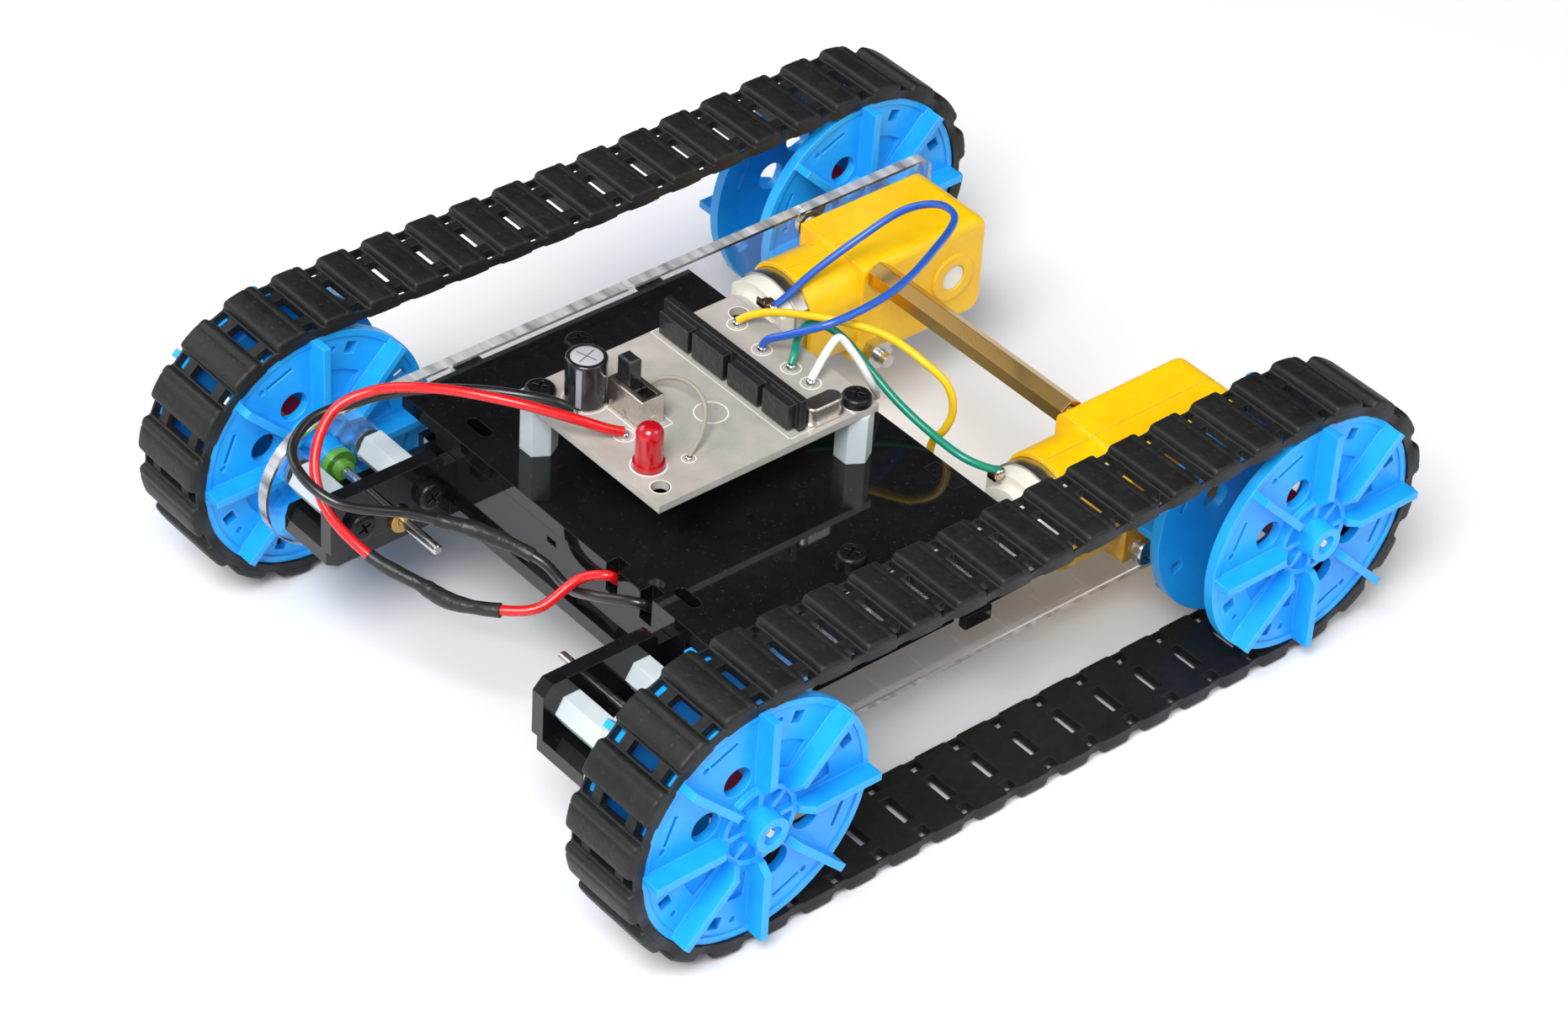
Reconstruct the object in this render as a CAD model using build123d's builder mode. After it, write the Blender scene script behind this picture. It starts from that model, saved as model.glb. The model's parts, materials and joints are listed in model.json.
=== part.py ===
from build123d import *
import math
import os

# Tracked vehicle chassis: two belts on toothed wheels, two gear motors, a battery box and
# a control board. X is across the vehicle (right side +X), Y runs from the front idler
# wheels (-Y) to the rear drive wheels (+Y), Z is up and the belts stand on z = 0.
# Heights named *_Z, and every z given to the plane helpers, are measured from the axles.
# Lengths are in mm.

os.makedirs("parts", exist_ok=True)

# ---------------------------------------------------------------- driving dimensions
# Belt run
WHEELBASE = 129.0          # axle to axle
RUN_PITCHES = 13           # belt pitches in one straight run
WHEEL_PITCHES = 16         # belt pitches once round a wheel
PITCH = WHEELBASE / RUN_PITCHES
NEUTRAL_R = WHEEL_PITCHES * PITCH / (2 * math.pi)
BELT_IN_R = NEUTRAL_R - 0.9
BELT_WEB_R = NEUTRAL_R + 0.9
BELT_PAD_R = BELT_WEB_R + 1.6
BELT_X0, BELT_X1 = 53.9, 71.1

AXLE_HEIGHT = BELT_PAD_R   # above the ground
FRONT_AXLE_Y, REAR_AXLE_Y = -WHEELBASE / 2, WHEELBASE / 2

# Wheels
DISC_R = BELT_IN_R - 0.15
DISC_T = 1.8
WHEEL_MID_X = 62.5
DISC_OUT_X = 70.2                           # outward face of the outer disc
DISC_IN_X = 2 * WHEEL_MID_X - DISC_OUT_X    # inward face of the inner disc
PADDLE_H = 4.0

# Pins and screws
PIN_R = 1.0
PIN_FIT_R = PIN_R + 0.02   # hole that grips a pin
PIN_RUN_R = PIN_R + 0.06   # hole that a pin turns in
SCREW_R = 1.4
SCREW_HOLE_R = 1.6         # clearance hole
THREAD_HOLE_R = 1.45
NUT_FLATS = 5.5
STANDOFF_FLATS = 6.0

# Plates and walls
PLATE_X0, PLATE_X1 = 45.5, 48.5
PLATE_T = PLATE_X1 - PLATE_X0
DECK_Z0, DECK_Z1 = 9.0, 12.0
DECK_Y0, DECK_Y1 = -52.0, 14.0
FLOOR_Z0, FLOOR_Z1 = -4.5, -1.5
FLOOR_Y0 = -53.5
DECK_TABS_Y = (-37, 5)
FLOOR_TABS_Y = (-43, 3)
TAB_W = 6
WALL_W, WALL_T = 71, 3
WALL_H = DECK_Z0 - FLOOR_Z1
WALL_MID_Z = (FLOOR_Z1 + DECK_Z0) / 2
REAR_WALL_Y = 10.0
REAR_TAB_X = 30
LEAD_NOTCHES_X = (15.4, 24.8)               # where the battery leads leave the deck
LEAD_NOTCH_W = 3.2
POST_X, POST_Y = 38.2, -17.5                # posts between floor and deck

# Axle brackets
BRACKET_X0, BRACKET_X1 = 29.0, 32.0
NOSE_Y = -79.5                              # front end of brackets and floor
BRACKET_HOLES = [(-73.5, 3.0), (-58.5, 3.0)]    # y, z

# Gear motors
CASE_X0, CASE_X1 = 26.8, 45.5
MOTOR_X = (CASE_X0 + CASE_X1) / 2
MOTOR_SCREW_Y, MOTOR_SCREW_Z = 45.0, 8.9    # one screw above and one below the motor
CAN_Y0, CAN_Y1 = 26.5, 40.9
PINION_TEETH, GEAR_TEETH = 8, 32
FINE_MODULE, COARSE_MODULE = 0.4, 0.45
REDUCTION_Y = REAR_AXLE_Y - (PINION_TEETH + GEAR_TEETH) * COARSE_MODULE / 2
CROWN_Y = REDUCTION_Y - (PINION_TEETH + GEAR_TEETH) * FINE_MODULE / 2

# Control board
BOARD_Z0, BOARD_Z1 = 22.0, 23.6
BOARD_HOLES = [(-18.9, -41.6), (15.5, 2.2)]         # x, y, screwed to the deck
BOARD_FREE_HOLES = [(14.2, -41.0), (-17.2, 2.2)]    # x, y, left empty

SIDES = (-1, 1)            # left, right


# ---------------------------------------------------------------- helpers
def side_plane(x, y=0.0, z=0.0):
    """Plane facing +X: local x is +Y, local y is +Z."""
    return Plane(origin=(x, y, AXLE_HEIGHT + z), x_dir=(0, 1, 0), z_dir=(1, 0, 0))


def level_plane(z, x=0.0, y=0.0):
    """Plane facing up."""
    return Plane(origin=(x, y, AXLE_HEIGHT + z), x_dir=(1, 0, 0))


def wall_plane(y):
    """Plane facing +Y: local x is -X, local y is +Z."""
    return Plane(origin=(0, y, AXLE_HEIGHT), x_dir=(-1, 0, 0), z_dir=(0, 1, 0))


def motor_plane(y, side=1):
    """Plane across a motor's shaft, facing the front (-Y): local x is +X."""
    return Plane(origin=(side * MOTOR_X, y, AXLE_HEIGHT), x_dir=(1, 0, 0), z_dir=(0, -1, 0))


def save(builder, name):
    builder.part.label = name
    export_step(builder.part, f"parts/{name}.step")


def save_pair(builder, name):
    """Writes a right-hand piece and its mirror image."""
    save(builder, name + "_right")
    with BuildPart() as other:
        mirror(builder.part, about=Plane.YZ)
    save(other, name + "_left")


def hexagon(across_flats, rotation=0):
    RegularPolygon(across_flats / math.sqrt(3), 6, rotation=rotation)


def can_profile(radius, half_flat):
    """Circle cut to two flats, each half_flat from the middle."""
    Circle(radius)
    with Locations((-(half_flat + 10), 0), (half_flat + 10, 0)):
        Rectangle(20, 3 * radius, mode=Mode.SUBTRACT)


def polar_point(radius, degrees):
    angle = math.radians(degrees)
    return radius * math.cos(angle), radius * math.sin(angle)


def gear_points(teeth, module, phase=0.0):
    """Outline of a spur gear; phase is the angle of the first tooth in radians."""
    pitch_r = teeth * module / 2
    step = 2 * math.pi / teeth
    tip_r, root_r = pitch_r + 0.8 * module, pitch_r - 1.1 * module
    # radius, place along the tooth pitch
    tooth = ((root_r, -0.31), (pitch_r, -0.21), (tip_r, -0.1),
             (tip_r, 0.1), (pitch_r, 0.21), (root_r, 0.31))
    points = []
    for i in range(teeth):
        middle = phase + i * step
        for radius, share in tooth:
            angle = middle + share * step
            points.append((radius * math.cos(angle), radius * math.sin(angle)))
    return points


def pan_screw(plane, length, head_r=2.8, head_h=1.9):
    """Cross-slotted pan-head screw: head stands out of the plane, shank goes in."""
    slot_l, slot_w = head_r * 1.05, 0.62
    with BuildPart(mode=Mode.PRIVATE) as screw:
        with BuildSketch(plane):
            Circle(head_r)
        extrude(amount=head_h)
        rims = screw.edges().filter_by(GeomType.CIRCLE)
        fillet(rims.group_by(Axis(plane.origin, plane.z_dir))[-1], head_h * 0.45)
        with BuildSketch(plane.offset(head_h)):
            Rectangle(slot_l, slot_w)
            Rectangle(slot_w, slot_l)
        extrude(amount=-head_h * 0.55, mode=Mode.SUBTRACT)
        with BuildSketch(plane):
            Circle(SCREW_R)
        extrude(amount=-length)
    return screw.part


# ---------------------------------------------------------------- side plates
PLATE_R = 13.65            # half the plate's height
PLATE_MID_Z = -0.3
PLATE_TOP_Z, PLATE_LOW_Z = PLATE_MID_Z + PLATE_R, PLATE_MID_Z - PLATE_R
PLATE_ARC_Y, PLATE_REAR_Y = -68, 75
BUSH_R = 2.0
SHAFT_HOLE_R = 3.3

with BuildPart() as side_plate:
    with BuildSketch(side_plane(PLATE_X0)):
        with BuildLine():
            Polyline((PLATE_ARC_Y, PLATE_TOP_Z), (PLATE_REAR_Y, PLATE_TOP_Z),
                     (PLATE_REAR_Y, PLATE_LOW_Z), (PLATE_ARC_Y, PLATE_LOW_Z))
            ThreePointArc((PLATE_ARC_Y, PLATE_TOP_Z), (PLATE_ARC_Y - PLATE_R, PLATE_MID_Z),
                          (PLATE_ARC_Y, PLATE_LOW_Z))
        make_face()
    extrude(amount=PLATE_T)
    fillet(side_plate.edges().filter_by(Axis.X).group_by(Axis.Y)[-1], 3)
    with BuildSketch(side_plane(PLATE_X0)):
        with Locations((FRONT_AXLE_Y, 0)):
            Circle(BUSH_R)
        with Locations((REAR_AXLE_Y, 0)):
            Circle(SHAFT_HOLE_R)
        with Locations((MOTOR_SCREW_Y, MOTOR_SCREW_Z), (MOTOR_SCREW_Y, -MOTOR_SCREW_Z),
                       *BRACKET_HOLES):
            Circle(SCREW_HOLE_R)
        # slots for the tabs of the deck and of the floor
        with Locations(*[(y, (DECK_Z0 + DECK_Z1) / 2) for y in DECK_TABS_Y],
                       *[(y, (FLOOR_Z0 + FLOOR_Z1) / 2) for y in FLOOR_TABS_Y]):
            Rectangle(TAB_W + 0.1, 3.0)
    extrude(amount=PLATE_T, mode=Mode.SUBTRACT)
    # the arcs of largest radius are the two edges of the round front end
    face_arcs = side_plate.faces().filter_by(Axis.X).edges().filter_by(GeomType.CIRCLE)
    chamfer(face_arcs.group_by(SortBy.RADIUS)[-1], 0.3)
save_pair(side_plate, "side_plate")

# ---------------------------------------------------------------- deck, floor and walls
with BuildPart() as deck:
    with BuildSketch(level_plane(DECK_Z0)):
        with Locations((0, (DECK_Y0 + DECK_Y1) / 2)):
            Rectangle(2 * PLATE_X0, DECK_Y1 - DECK_Y0)
        with Locations(*[(0, y) for y in DECK_TABS_Y]):
            Rectangle(2 * PLATE_X1, TAB_W)
        # holes for the rear wall's tabs
        with Locations(*[(side * REAR_TAB_X, REAR_WALL_Y + WALL_T / 2) for side in SIDES]):
            Rectangle(8, WALL_T, mode=Mode.SUBTRACT)
        with Locations((-29.5, -46.7), (29.5, -46.7)):
            SlotOverall(6.0, 2.4, mode=Mode.SUBTRACT)
        with Locations((POST_X, POST_Y), (-POST_X, POST_Y)):
            Circle(SCREW_HOLE_R, mode=Mode.SUBTRACT)
        with Locations(*BOARD_HOLES):
            Circle(1.55, mode=Mode.SUBTRACT)
        with Locations(*[(x, DECK_Y0 + 0.9) for x in LEAD_NOTCHES_X]):
            Rectangle(LEAD_NOTCH_W, 3.8, mode=Mode.SUBTRACT)
    extrude(amount=DECK_Z1 - DECK_Z0)
save(deck, "deck_plate")

FLOOR_TAB_X = 50.2
ARM_REAR_Y = FLOOR_Y0 + 0.1    # the arms overlap the main rectangle a little

with BuildPart() as floor:
    with BuildSketch(level_plane(FLOOR_Z0)):
        with Locations((0, (FLOOR_Y0 + DECK_Y1) / 2)):
            Rectangle(2 * PLATE_X0, DECK_Y1 - FLOOR_Y0)
        # an arm forward on each side, under the axle bracket
        for side in SIDES:
            with BuildLine():
                Polyline((side * BRACKET_X0, ARM_REAR_Y), (side * BRACKET_X0, NOSE_Y + 1.5),
                         (side * (BRACKET_X0 + 1.5), NOSE_Y), (side * (PLATE_X0 - 2.5), NOSE_Y),
                         (side * PLATE_X0, NOSE_Y + 2.5), (side * PLATE_X0, ARM_REAR_Y),
                         close=True)
            make_face()
        with Locations(*[(0, y) for y in FLOOR_TABS_Y]):
            Rectangle(2 * FLOOR_TAB_X, TAB_W)
        # opening for the battery holder
        with Locations((0, -19.5)):
            Rectangle(61.4, 58.2, mode=Mode.SUBTRACT)
        with Locations((POST_X, POST_Y), (-POST_X, POST_Y)):
            Circle(SCREW_HOLE_R, mode=Mode.SUBTRACT)
    extrude(amount=FLOOR_Z1 - FLOOR_Z0)
save(floor, "floor_plate")

with BuildPart() as front_wall:
    with BuildSketch(wall_plane(DECK_Y0)):
        with Locations((0, WALL_MID_Z)):
            Rectangle(WALL_W, WALL_H)
        with Locations((30.5, 4.5), (-30.5, 4.5)):
            Rectangle(3.0, 6.0, mode=Mode.SUBTRACT)
        with Locations(*[(-x, DECK_Z0) for x in LEAD_NOTCHES_X]):
            Rectangle(LEAD_NOTCH_W, 6.0, mode=Mode.SUBTRACT)
        with Locations((1.5, 6.6)):
            Rectangle(2.6, 1.2, mode=Mode.SUBTRACT)
    extrude(amount=WALL_T)
save(front_wall, "front_wall")

with BuildPart() as rear_wall:
    with BuildSketch(wall_plane(REAR_WALL_Y)):
        with Locations((0, WALL_MID_Z)):
            Rectangle(WALL_W, WALL_H)
        with Locations((REAR_TAB_X, (DECK_Z0 + DECK_Z1) / 2),
                       (-REAR_TAB_X, (DECK_Z0 + DECK_Z1) / 2)):
            Rectangle(7.9, DECK_Z1 - DECK_Z0)
    extrude(amount=WALL_T)
save(rear_wall, "rear_wall")

# ---------------------------------------------------------------- axle brackets
# y, z
BRACKET_OUTLINE = [
    (NOSE_Y, FLOOR_Z1), (NOSE_Y, 7.8), (-77.5, 9.8), (-56, 9.8), (-55, 8.8), (-55, 7.4),
    (-49, 7.4), (-49, 1.6), (DECK_Y0, 1.6), (DECK_Y0, FLOOR_Z1),
]

with BuildPart() as bracket:
    with BuildSketch(side_plane(BRACKET_X0)):
        with BuildLine():
            Polyline(*BRACKET_OUTLINE, close=True)
        make_face()
        with Locations((FRONT_AXLE_Y, 0)):
            Circle(PIN_RUN_R, mode=Mode.SUBTRACT)
        with Locations(*BRACKET_HOLES):
            Circle(SCREW_HOLE_R, mode=Mode.SUBTRACT)
    extrude(amount=BRACKET_X1 - BRACKET_X0)
save_pair(bracket, "axle_bracket")

# ---------------------------------------------------------------- battery holder and cells
CELL_PITCH = 14.2
CELLS_Y = [-40.9 + CELL_PITCH * i for i in range(4)]
CELL_Z = 1.8
CELL_X0, CELL_X1 = -25.2, 24.0
HOLDER_Y = -19.6
HOLDER_Z0, HOLDER_FLOOR_Z = -6.0, -5.3

with BuildPart() as holder:
    with BuildSketch(level_plane(HOLDER_Z0)):
        with Locations((0, HOLDER_Y)):
            RectangleRounded(61.0, 57.9, 1.0)
    extrude(amount=14.9)
    with BuildSketch(level_plane(HOLDER_FLOOR_Z)):
        with Locations((0, HOLDER_Y)):
            Rectangle(58.8, 56.7)
    extrude(amount=15, mode=Mode.SUBTRACT)
    # low ribs between neighbouring cells
    with BuildSketch(level_plane(HOLDER_FLOOR_Z)):
        with GridLocations(CELL_PITCH, CELL_PITCH, 1, 3):
            with Locations((0, HOLDER_Y)):
                Rectangle(40, 0.8)
    extrude(amount=1.0)
save(holder, "battery_holder")

with BuildPart() as cells:
    for y in CELLS_Y:
        with BuildSketch(side_plane(CELL_X0, y, CELL_Z)):
            Circle(7.0)
        extrude(amount=CELL_X1 - CELL_X0)
        # end button
        with BuildSketch(side_plane(CELL_X1, y, CELL_Z)):
            Circle(2.7)
        extrude(amount=1.3)
save(cells, "battery_cells")

CONTACT_T = 0.35
# plate x, then the x and radius of the cone's two ends
CONTACT_ENDS = [
    (29.0, (25.4, 2.2), (29.05, 3.2)),
    (-29.35, (-29.05, 3.6), (-25.4, 2.4)),
]

with BuildPart() as contacts:
    for y in CELLS_Y:
        for plate_x, *cone in CONTACT_ENDS:
            with BuildSketch(side_plane(plate_x, y, CELL_Z)):
                Rectangle(9, 9)
            extrude(amount=CONTACT_T)
            for x, radius in cone:
                with BuildSketch(side_plane(x, y, CELL_Z)):
                    Circle(radius)
            loft()
save(contacts, "battery_contacts")

# ---------------------------------------------------------------- nylon standoffs
SOCKET_DEPTH = 6

with BuildPart() as standoffs:
    # deck to board, with a stud through the deck
    for x, y in BOARD_HOLES:
        with BuildSketch(level_plane(DECK_Z1, x, y)):
            hexagon(STANDOFF_FLATS)
        extrude(amount=BOARD_Z0 - DECK_Z1)
        with BuildSketch(level_plane(DECK_Z0 + 0.1, x, y)):
            Circle(1.5)
        extrude(amount=DECK_Z1 - DECK_Z0)
        with BuildSketch(level_plane(BOARD_Z0 - SOCKET_DEPTH, x, y)):
            Circle(THREAD_HOLE_R)
        extrude(amount=SOCKET_DEPTH, mode=Mode.SUBTRACT)
    for side in SIDES:
        # floor to deck
        with BuildSketch(level_plane(FLOOR_Z1, side * POST_X, POST_Y)):
            hexagon(NUT_FLATS)
            Circle(THREAD_HOLE_R, mode=Mode.SUBTRACT)
        extrude(amount=DECK_Z0 - FLOOR_Z1)
        # bracket to side plate
        for y, z in BRACKET_HOLES:
            with BuildSketch(side_plane(BRACKET_X1 if side > 0 else -PLATE_X0, y, z)):
                hexagon(STANDOFF_FLATS)
                Circle(THREAD_HOLE_R, mode=Mode.SUBTRACT)
            extrude(amount=PLATE_X0 - BRACKET_X1)
save(standoffs, "nylon_standoffs")

# ---------------------------------------------------------------- screws
with BuildPart() as black_screws:
    for x, y in BOARD_HOLES:
        add(pan_screw(Plane(origin=(x, y, AXLE_HEIGHT + BOARD_Z1), x_dir=(0.8, 0.6, 0)), 6.5))
    for side in SIDES:
        post_x = side * POST_X
        add(pan_screw(Plane(origin=(post_x, POST_Y, AXLE_HEIGHT + DECK_Z1),
                            x_dir=(0.9, side * 0.43, 0)), 7))
        add(pan_screw(Plane(origin=(post_x, POST_Y, AXLE_HEIGHT + FLOOR_Z0),
                            x_dir=(1, 0, 0), z_dir=(0, 0, -1)), 6))
        for y, z in BRACKET_HOLES:
            add(pan_screw(Plane(origin=(side * BRACKET_X0, y, AXLE_HEIGHT + z),
                                x_dir=(0, 0.9, 0.43), z_dir=(-side, 0, 0)), 8))
save(black_screws, "black_screws")

STEEL_HEAD = {"head_r": 2.7, "head_h": 1.7}
NUT_T = 2.4
# z, length
MOTOR_SCREWS = [(MOTOR_SCREW_Z, 28.5), (-MOTOR_SCREW_Z, 26.5)]

with BuildPart() as steel_screws:
    for side in SIDES:
        for y, z in BRACKET_HOLES:
            add(pan_screw(Plane(origin=(side * PLATE_X1, y, AXLE_HEIGHT + z),
                                x_dir=(0, 0.9, 0.43), z_dir=(side, 0, 0)), 8, **STEEL_HEAD))
        for z, length in MOTOR_SCREWS:
            add(pan_screw(Plane(origin=(side * PLATE_X1, MOTOR_SCREW_Y, AXLE_HEIGHT + z),
                                x_dir=(0, 1, 0), z_dir=(side, 0, 0)), length, **STEEL_HEAD))
        # nut on the inner end of the lower motor screw
        with BuildSketch(side_plane(CASE_X0 - NUT_T if side > 0 else -CASE_X0,
                                    MOTOR_SCREW_Y, -MOTOR_SCREW_Z)):
            hexagon(NUT_FLATS)
            Circle(THREAD_HOLE_R, mode=Mode.SUBTRACT)
        extrude(amount=NUT_T)
save(steel_screws, "steel_screws_nuts")

# ---------------------------------------------------------------- spacer, bushes, washers
with BuildPart() as cross_spacer:
    with BuildSketch(side_plane(-CASE_X0, MOTOR_SCREW_Y, MOTOR_SCREW_Z)):
        hexagon(4.8, rotation=30)
    extrude(amount=2 * CASE_X0)
    for side in SIDES:
        with BuildSketch(side_plane(side * CASE_X0, MOTOR_SCREW_Y, MOTOR_SCREW_Z)):
            Circle(THREAD_HOLE_R)
        extrude(amount=-side * 8, mode=Mode.SUBTRACT)
save(cross_spacer, "brass_cross_spacer")

with BuildPart() as bushes:
    for side in SIDES:
        with BuildSketch(side_plane(side * PLATE_X0, FRONT_AXLE_Y)):
            Circle(BUSH_R)
        extrude(amount=side * 3.2)
        # flange on the outside of the plate
        with BuildSketch(side_plane(side * PLATE_X1, FRONT_AXLE_Y)):
            Circle(3.4)
        extrude(amount=side * 1.6)
        with BuildSketch(side_plane(side * (PLATE_X0 - 1), FRONT_AXLE_Y)):
            Circle(PIN_RUN_R)
        extrude(amount=side * 8, mode=Mode.SUBTRACT)
save(bushes, "axle_bushes")

with BuildPart() as washers:
    for side in SIDES:
        with BuildSketch(side_plane(side * BRACKET_X0, FRONT_AXLE_Y)):
            Circle(2.5)
            Circle(PIN_RUN_R, mode=Mode.SUBTRACT)
        extrude(amount=-side * 0.9)
save(washers, "axle_washers")

# ---------------------------------------------------------------- wheels
# The disc has eight sectors between its paddles: four with holes, four with recesses.
HOLE_ANGLES = (112.5, 157.5, -22.5, -67.5)
RECESS_ANGLES = (22.5, 67.5, 202.5, 247.5)
RECESS_HALF_ANGLE = 15
RECESS_R0, RECESS_R1 = 10.4, 16.0
PADDLES = 8
PADDLE_T = 1.5
PADDLE_R0, PADDLE_R1 = 7.6, DISC_R - 0.2
HUB_X = DISC_OUT_X + 4.5       # outer end of the hub


def wheel_disc(axle_y):
    """Outer disc of the right-hand wheel on the axle at axle_y."""
    inner_x = DISC_OUT_X - DISC_T
    with BuildPart(mode=Mode.PRIVATE) as disc:
        with BuildSketch(side_plane(inner_x, axle_y)):
            Circle(DISC_R)
            for angle in HOLE_ANGLES:
                with PolarLocations(11.9, 1, start_angle=angle):
                    Circle(2.9, mode=Mode.SUBTRACT)
            # slots across the radius
            for angle in HOLE_ANGLES:
                with PolarLocations(19.9, 1, start_angle=angle):
                    Rectangle(0.8, 6.0, mode=Mode.SUBTRACT)
            # square holes
            for angle in RECESS_ANGLES:
                with PolarLocations(20.4, 1, start_angle=angle):
                    Rectangle(2.4, 2.4, mode=Mode.SUBTRACT)
        extrude(amount=DISC_T)
        # teeth that stand in the belt's side holes
        with BuildSketch(side_plane(inner_x + 0.1, axle_y)):
            with PolarLocations(DISC_R, WHEEL_PITCHES, start_angle=90):
                with BuildLine():
                    Polyline((-0.6, -0.85), (-0.6, 0.85), (1.5, 0.45), (1.5, -0.45), close=True)
                make_face()
        extrude(amount=1.6)
        # ring-sector recesses
        for angle in RECESS_ANGLES:
            start, end = angle - RECESS_HALF_ANGLE, angle + RECESS_HALF_ANGLE
            with BuildSketch(side_plane(DISC_OUT_X, axle_y)):
                with BuildLine():
                    CenterArc((0, 0), RECESS_R0, start, end - start)
                    CenterArc((0, 0), RECESS_R1, start, end - start)
                    Line(polar_point(RECESS_R0, start), polar_point(RECESS_R1, start))
                    Line(polar_point(RECESS_R0, end), polar_point(RECESS_R1, end))
                make_face()
            extrude(amount=-0.8, mode=Mode.SUBTRACT)
        # dimples near the rim
        with BuildSketch(side_plane(DISC_OUT_X, axle_y)):
            with PolarLocations(20.4, 8, start_angle=34):
                Circle(0.65)
        extrude(amount=-0.7, mode=Mode.SUBTRACT)
        # raised ring round the hub, with eight spokes
        with BuildSketch(side_plane(DISC_OUT_X, axle_y)):
            Circle(8.0)
            Circle(7.0, mode=Mode.SUBTRACT)
            with PolarLocations(5.4, 8, start_angle=0):
                Rectangle(3.6, 0.9)
        extrude(amount=1.1)
        # rim bead
        with BuildSketch(side_plane(DISC_OUT_X, axle_y)):
            Circle(DISC_R)
            Circle(DISC_R - 1.3, mode=Mode.SUBTRACT)
        extrude(amount=0.35)
        # radial paddles; the plane's local y is -X, so negative values stand outward
        for k in range(PADDLES):
            angle = math.radians(360 / PADDLES * k)
            cos_a, sin_a = math.cos(angle), math.sin(angle)
            paddle_plane = Plane(
                origin=(DISC_OUT_X - 0.1, axle_y + PADDLE_T / 2 * sin_a,
                        AXLE_HEIGHT - PADDLE_T / 2 * cos_a),
                x_dir=(0, cos_a, sin_a), z_dir=(0, -sin_a, cos_a))
            with BuildSketch(paddle_plane):
                with BuildLine():
                    Polyline((PADDLE_R0, 0), (PADDLE_R1, 0), (PADDLE_R1, -(PADDLE_H + 0.1)),
                             (PADDLE_R0 + 2, -(PADDLE_H + 0.1)), (PADDLE_R0, -2.3), close=True)
                make_face()
            extrude(amount=PADDLE_T)
        # hub, its bore and the recess in its end
        with BuildSketch(side_plane(DISC_OUT_X - 0.5, axle_y)):
            Circle(3.7)
        extrude(amount=5.0, taper=3)
        with BuildSketch(side_plane(DISC_OUT_X - 4, axle_y)):
            Circle(PIN_FIT_R)
        extrude(amount=12, mode=Mode.SUBTRACT)
        with BuildSketch(side_plane(HUB_X, axle_y)):
            Circle(1.9)
        extrude(amount=-0.8, mode=Mode.SUBTRACT)
    return disc.part


WHEEL_MIDPLANE = Plane(origin=(WHEEL_MID_X, 0, 0), z_dir=(1, 0, 0))

with BuildPart() as idler_discs:
    outer_disc = wheel_disc(FRONT_AXLE_Y)
    add(outer_disc)
    mirror(outer_disc, about=WHEEL_MIDPLANE)
save_pair(idler_discs, "idler_discs")

with BuildPart() as drive_discs:
    outer_disc = wheel_disc(REAR_AXLE_Y)
    add(outer_disc)
    mirror(outer_disc, about=WHEEL_MIDPLANE)
    # socket for the output shaft in the inner disc's hub
    with BuildSketch(side_plane(DISC_IN_X - 6, REAR_AXLE_Y)):
        Circle(2.75)
    extrude(amount=6 + 0.2, mode=Mode.SUBTRACT)
save_pair(drive_discs, "drive_discs")

# hexagonal sleeves between the two discs of a wheel
SLEEVE_X0, SLEEVE_X1 = DISC_IN_X + DISC_T, DISC_OUT_X - DISC_T

for axle_y, name in ((FRONT_AXLE_Y, "idler_sleeve"), (REAR_AXLE_Y, "drive_sleeve")):
    with BuildPart() as sleeve:
        with BuildSketch(side_plane(SLEEVE_X0, axle_y)):
            hexagon(8.6)
            Circle(PIN_FIT_R, mode=Mode.SUBTRACT)
        extrude(amount=SLEEVE_X1 - SLEEVE_X0)
        # the first six are the hexagon's corners; the bore's seam has the same length
        fillet(sleeve.edges().filter_by(Axis.X).group_by(SortBy.LENGTH)[-1][:6], 1.0)
    save_pair(sleeve, name)

PIN_END_X = 74.1
# name, inner end x, axle y
WHEEL_PINS = [("idler_axle", 17.6, FRONT_AXLE_Y), ("drive_pin", 47.6, REAR_AXLE_Y)]

for name, inner_x, axle_y in WHEEL_PINS:
    with BuildPart() as wheel_pin:
        with BuildSketch(side_plane(inner_x, axle_y)):
            Circle(PIN_R)
        extrude(amount=PIN_END_X - inner_x)
        chamfer(wheel_pin.edges().filter_by(GeomType.CIRCLE), 0.3)
    save_pair(wheel_pin, name)


# ---------------------------------------------------------------- belts
def belt_stations(shift):
    """(y, angle of the outward normal) once round the belt, shifted by a share of a pitch."""
    stations = []
    for y, way, angle in ((FRONT_AXLE_Y, 1, 90.0), (REAR_AXLE_Y, -1, -90.0)):
        for k in range(RUN_PITCHES):
            stations.append((y + way * (k + shift) * PITCH, angle))
        for k in range(WHEEL_PITCHES // 2):
            stations.append((-y, angle - (k + shift) * 360 / WHEEL_PITCHES))
    return stations


def at_station(station, points):
    """Puts (radial, tangential) points into the side view at a belt station."""
    y, angle = station
    cos_a, sin_a = math.cos(math.radians(angle)), math.sin(math.radians(angle))
    return [(y + r * cos_a - t * sin_a, r * sin_a + t * cos_a) for r, t in points]


# radial, tangential
PAD_OUTLINE = [
    (BELT_WEB_R - 0.5, -3.3), (BELT_PAD_R - 0.6, -3.1), (BELT_PAD_R, -2.4),
    (BELT_PAD_R, 2.4), (BELT_PAD_R - 0.6, 3.1), (BELT_WEB_R - 0.5, 3.3),
]
BELT_HOLE_OUTLINE = [
    (BELT_IN_R - 1, -1.2), (BELT_WEB_R + 1, -1.2), (BELT_WEB_R + 1, 1.2), (BELT_IN_R - 1, 1.2),
]
BELT_HOLE_ROWS = ((54.4, 57.0), (59.2, 65.8), (68.0, 70.6))    # x0, x1
PAD_INSET = 0.3

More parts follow.
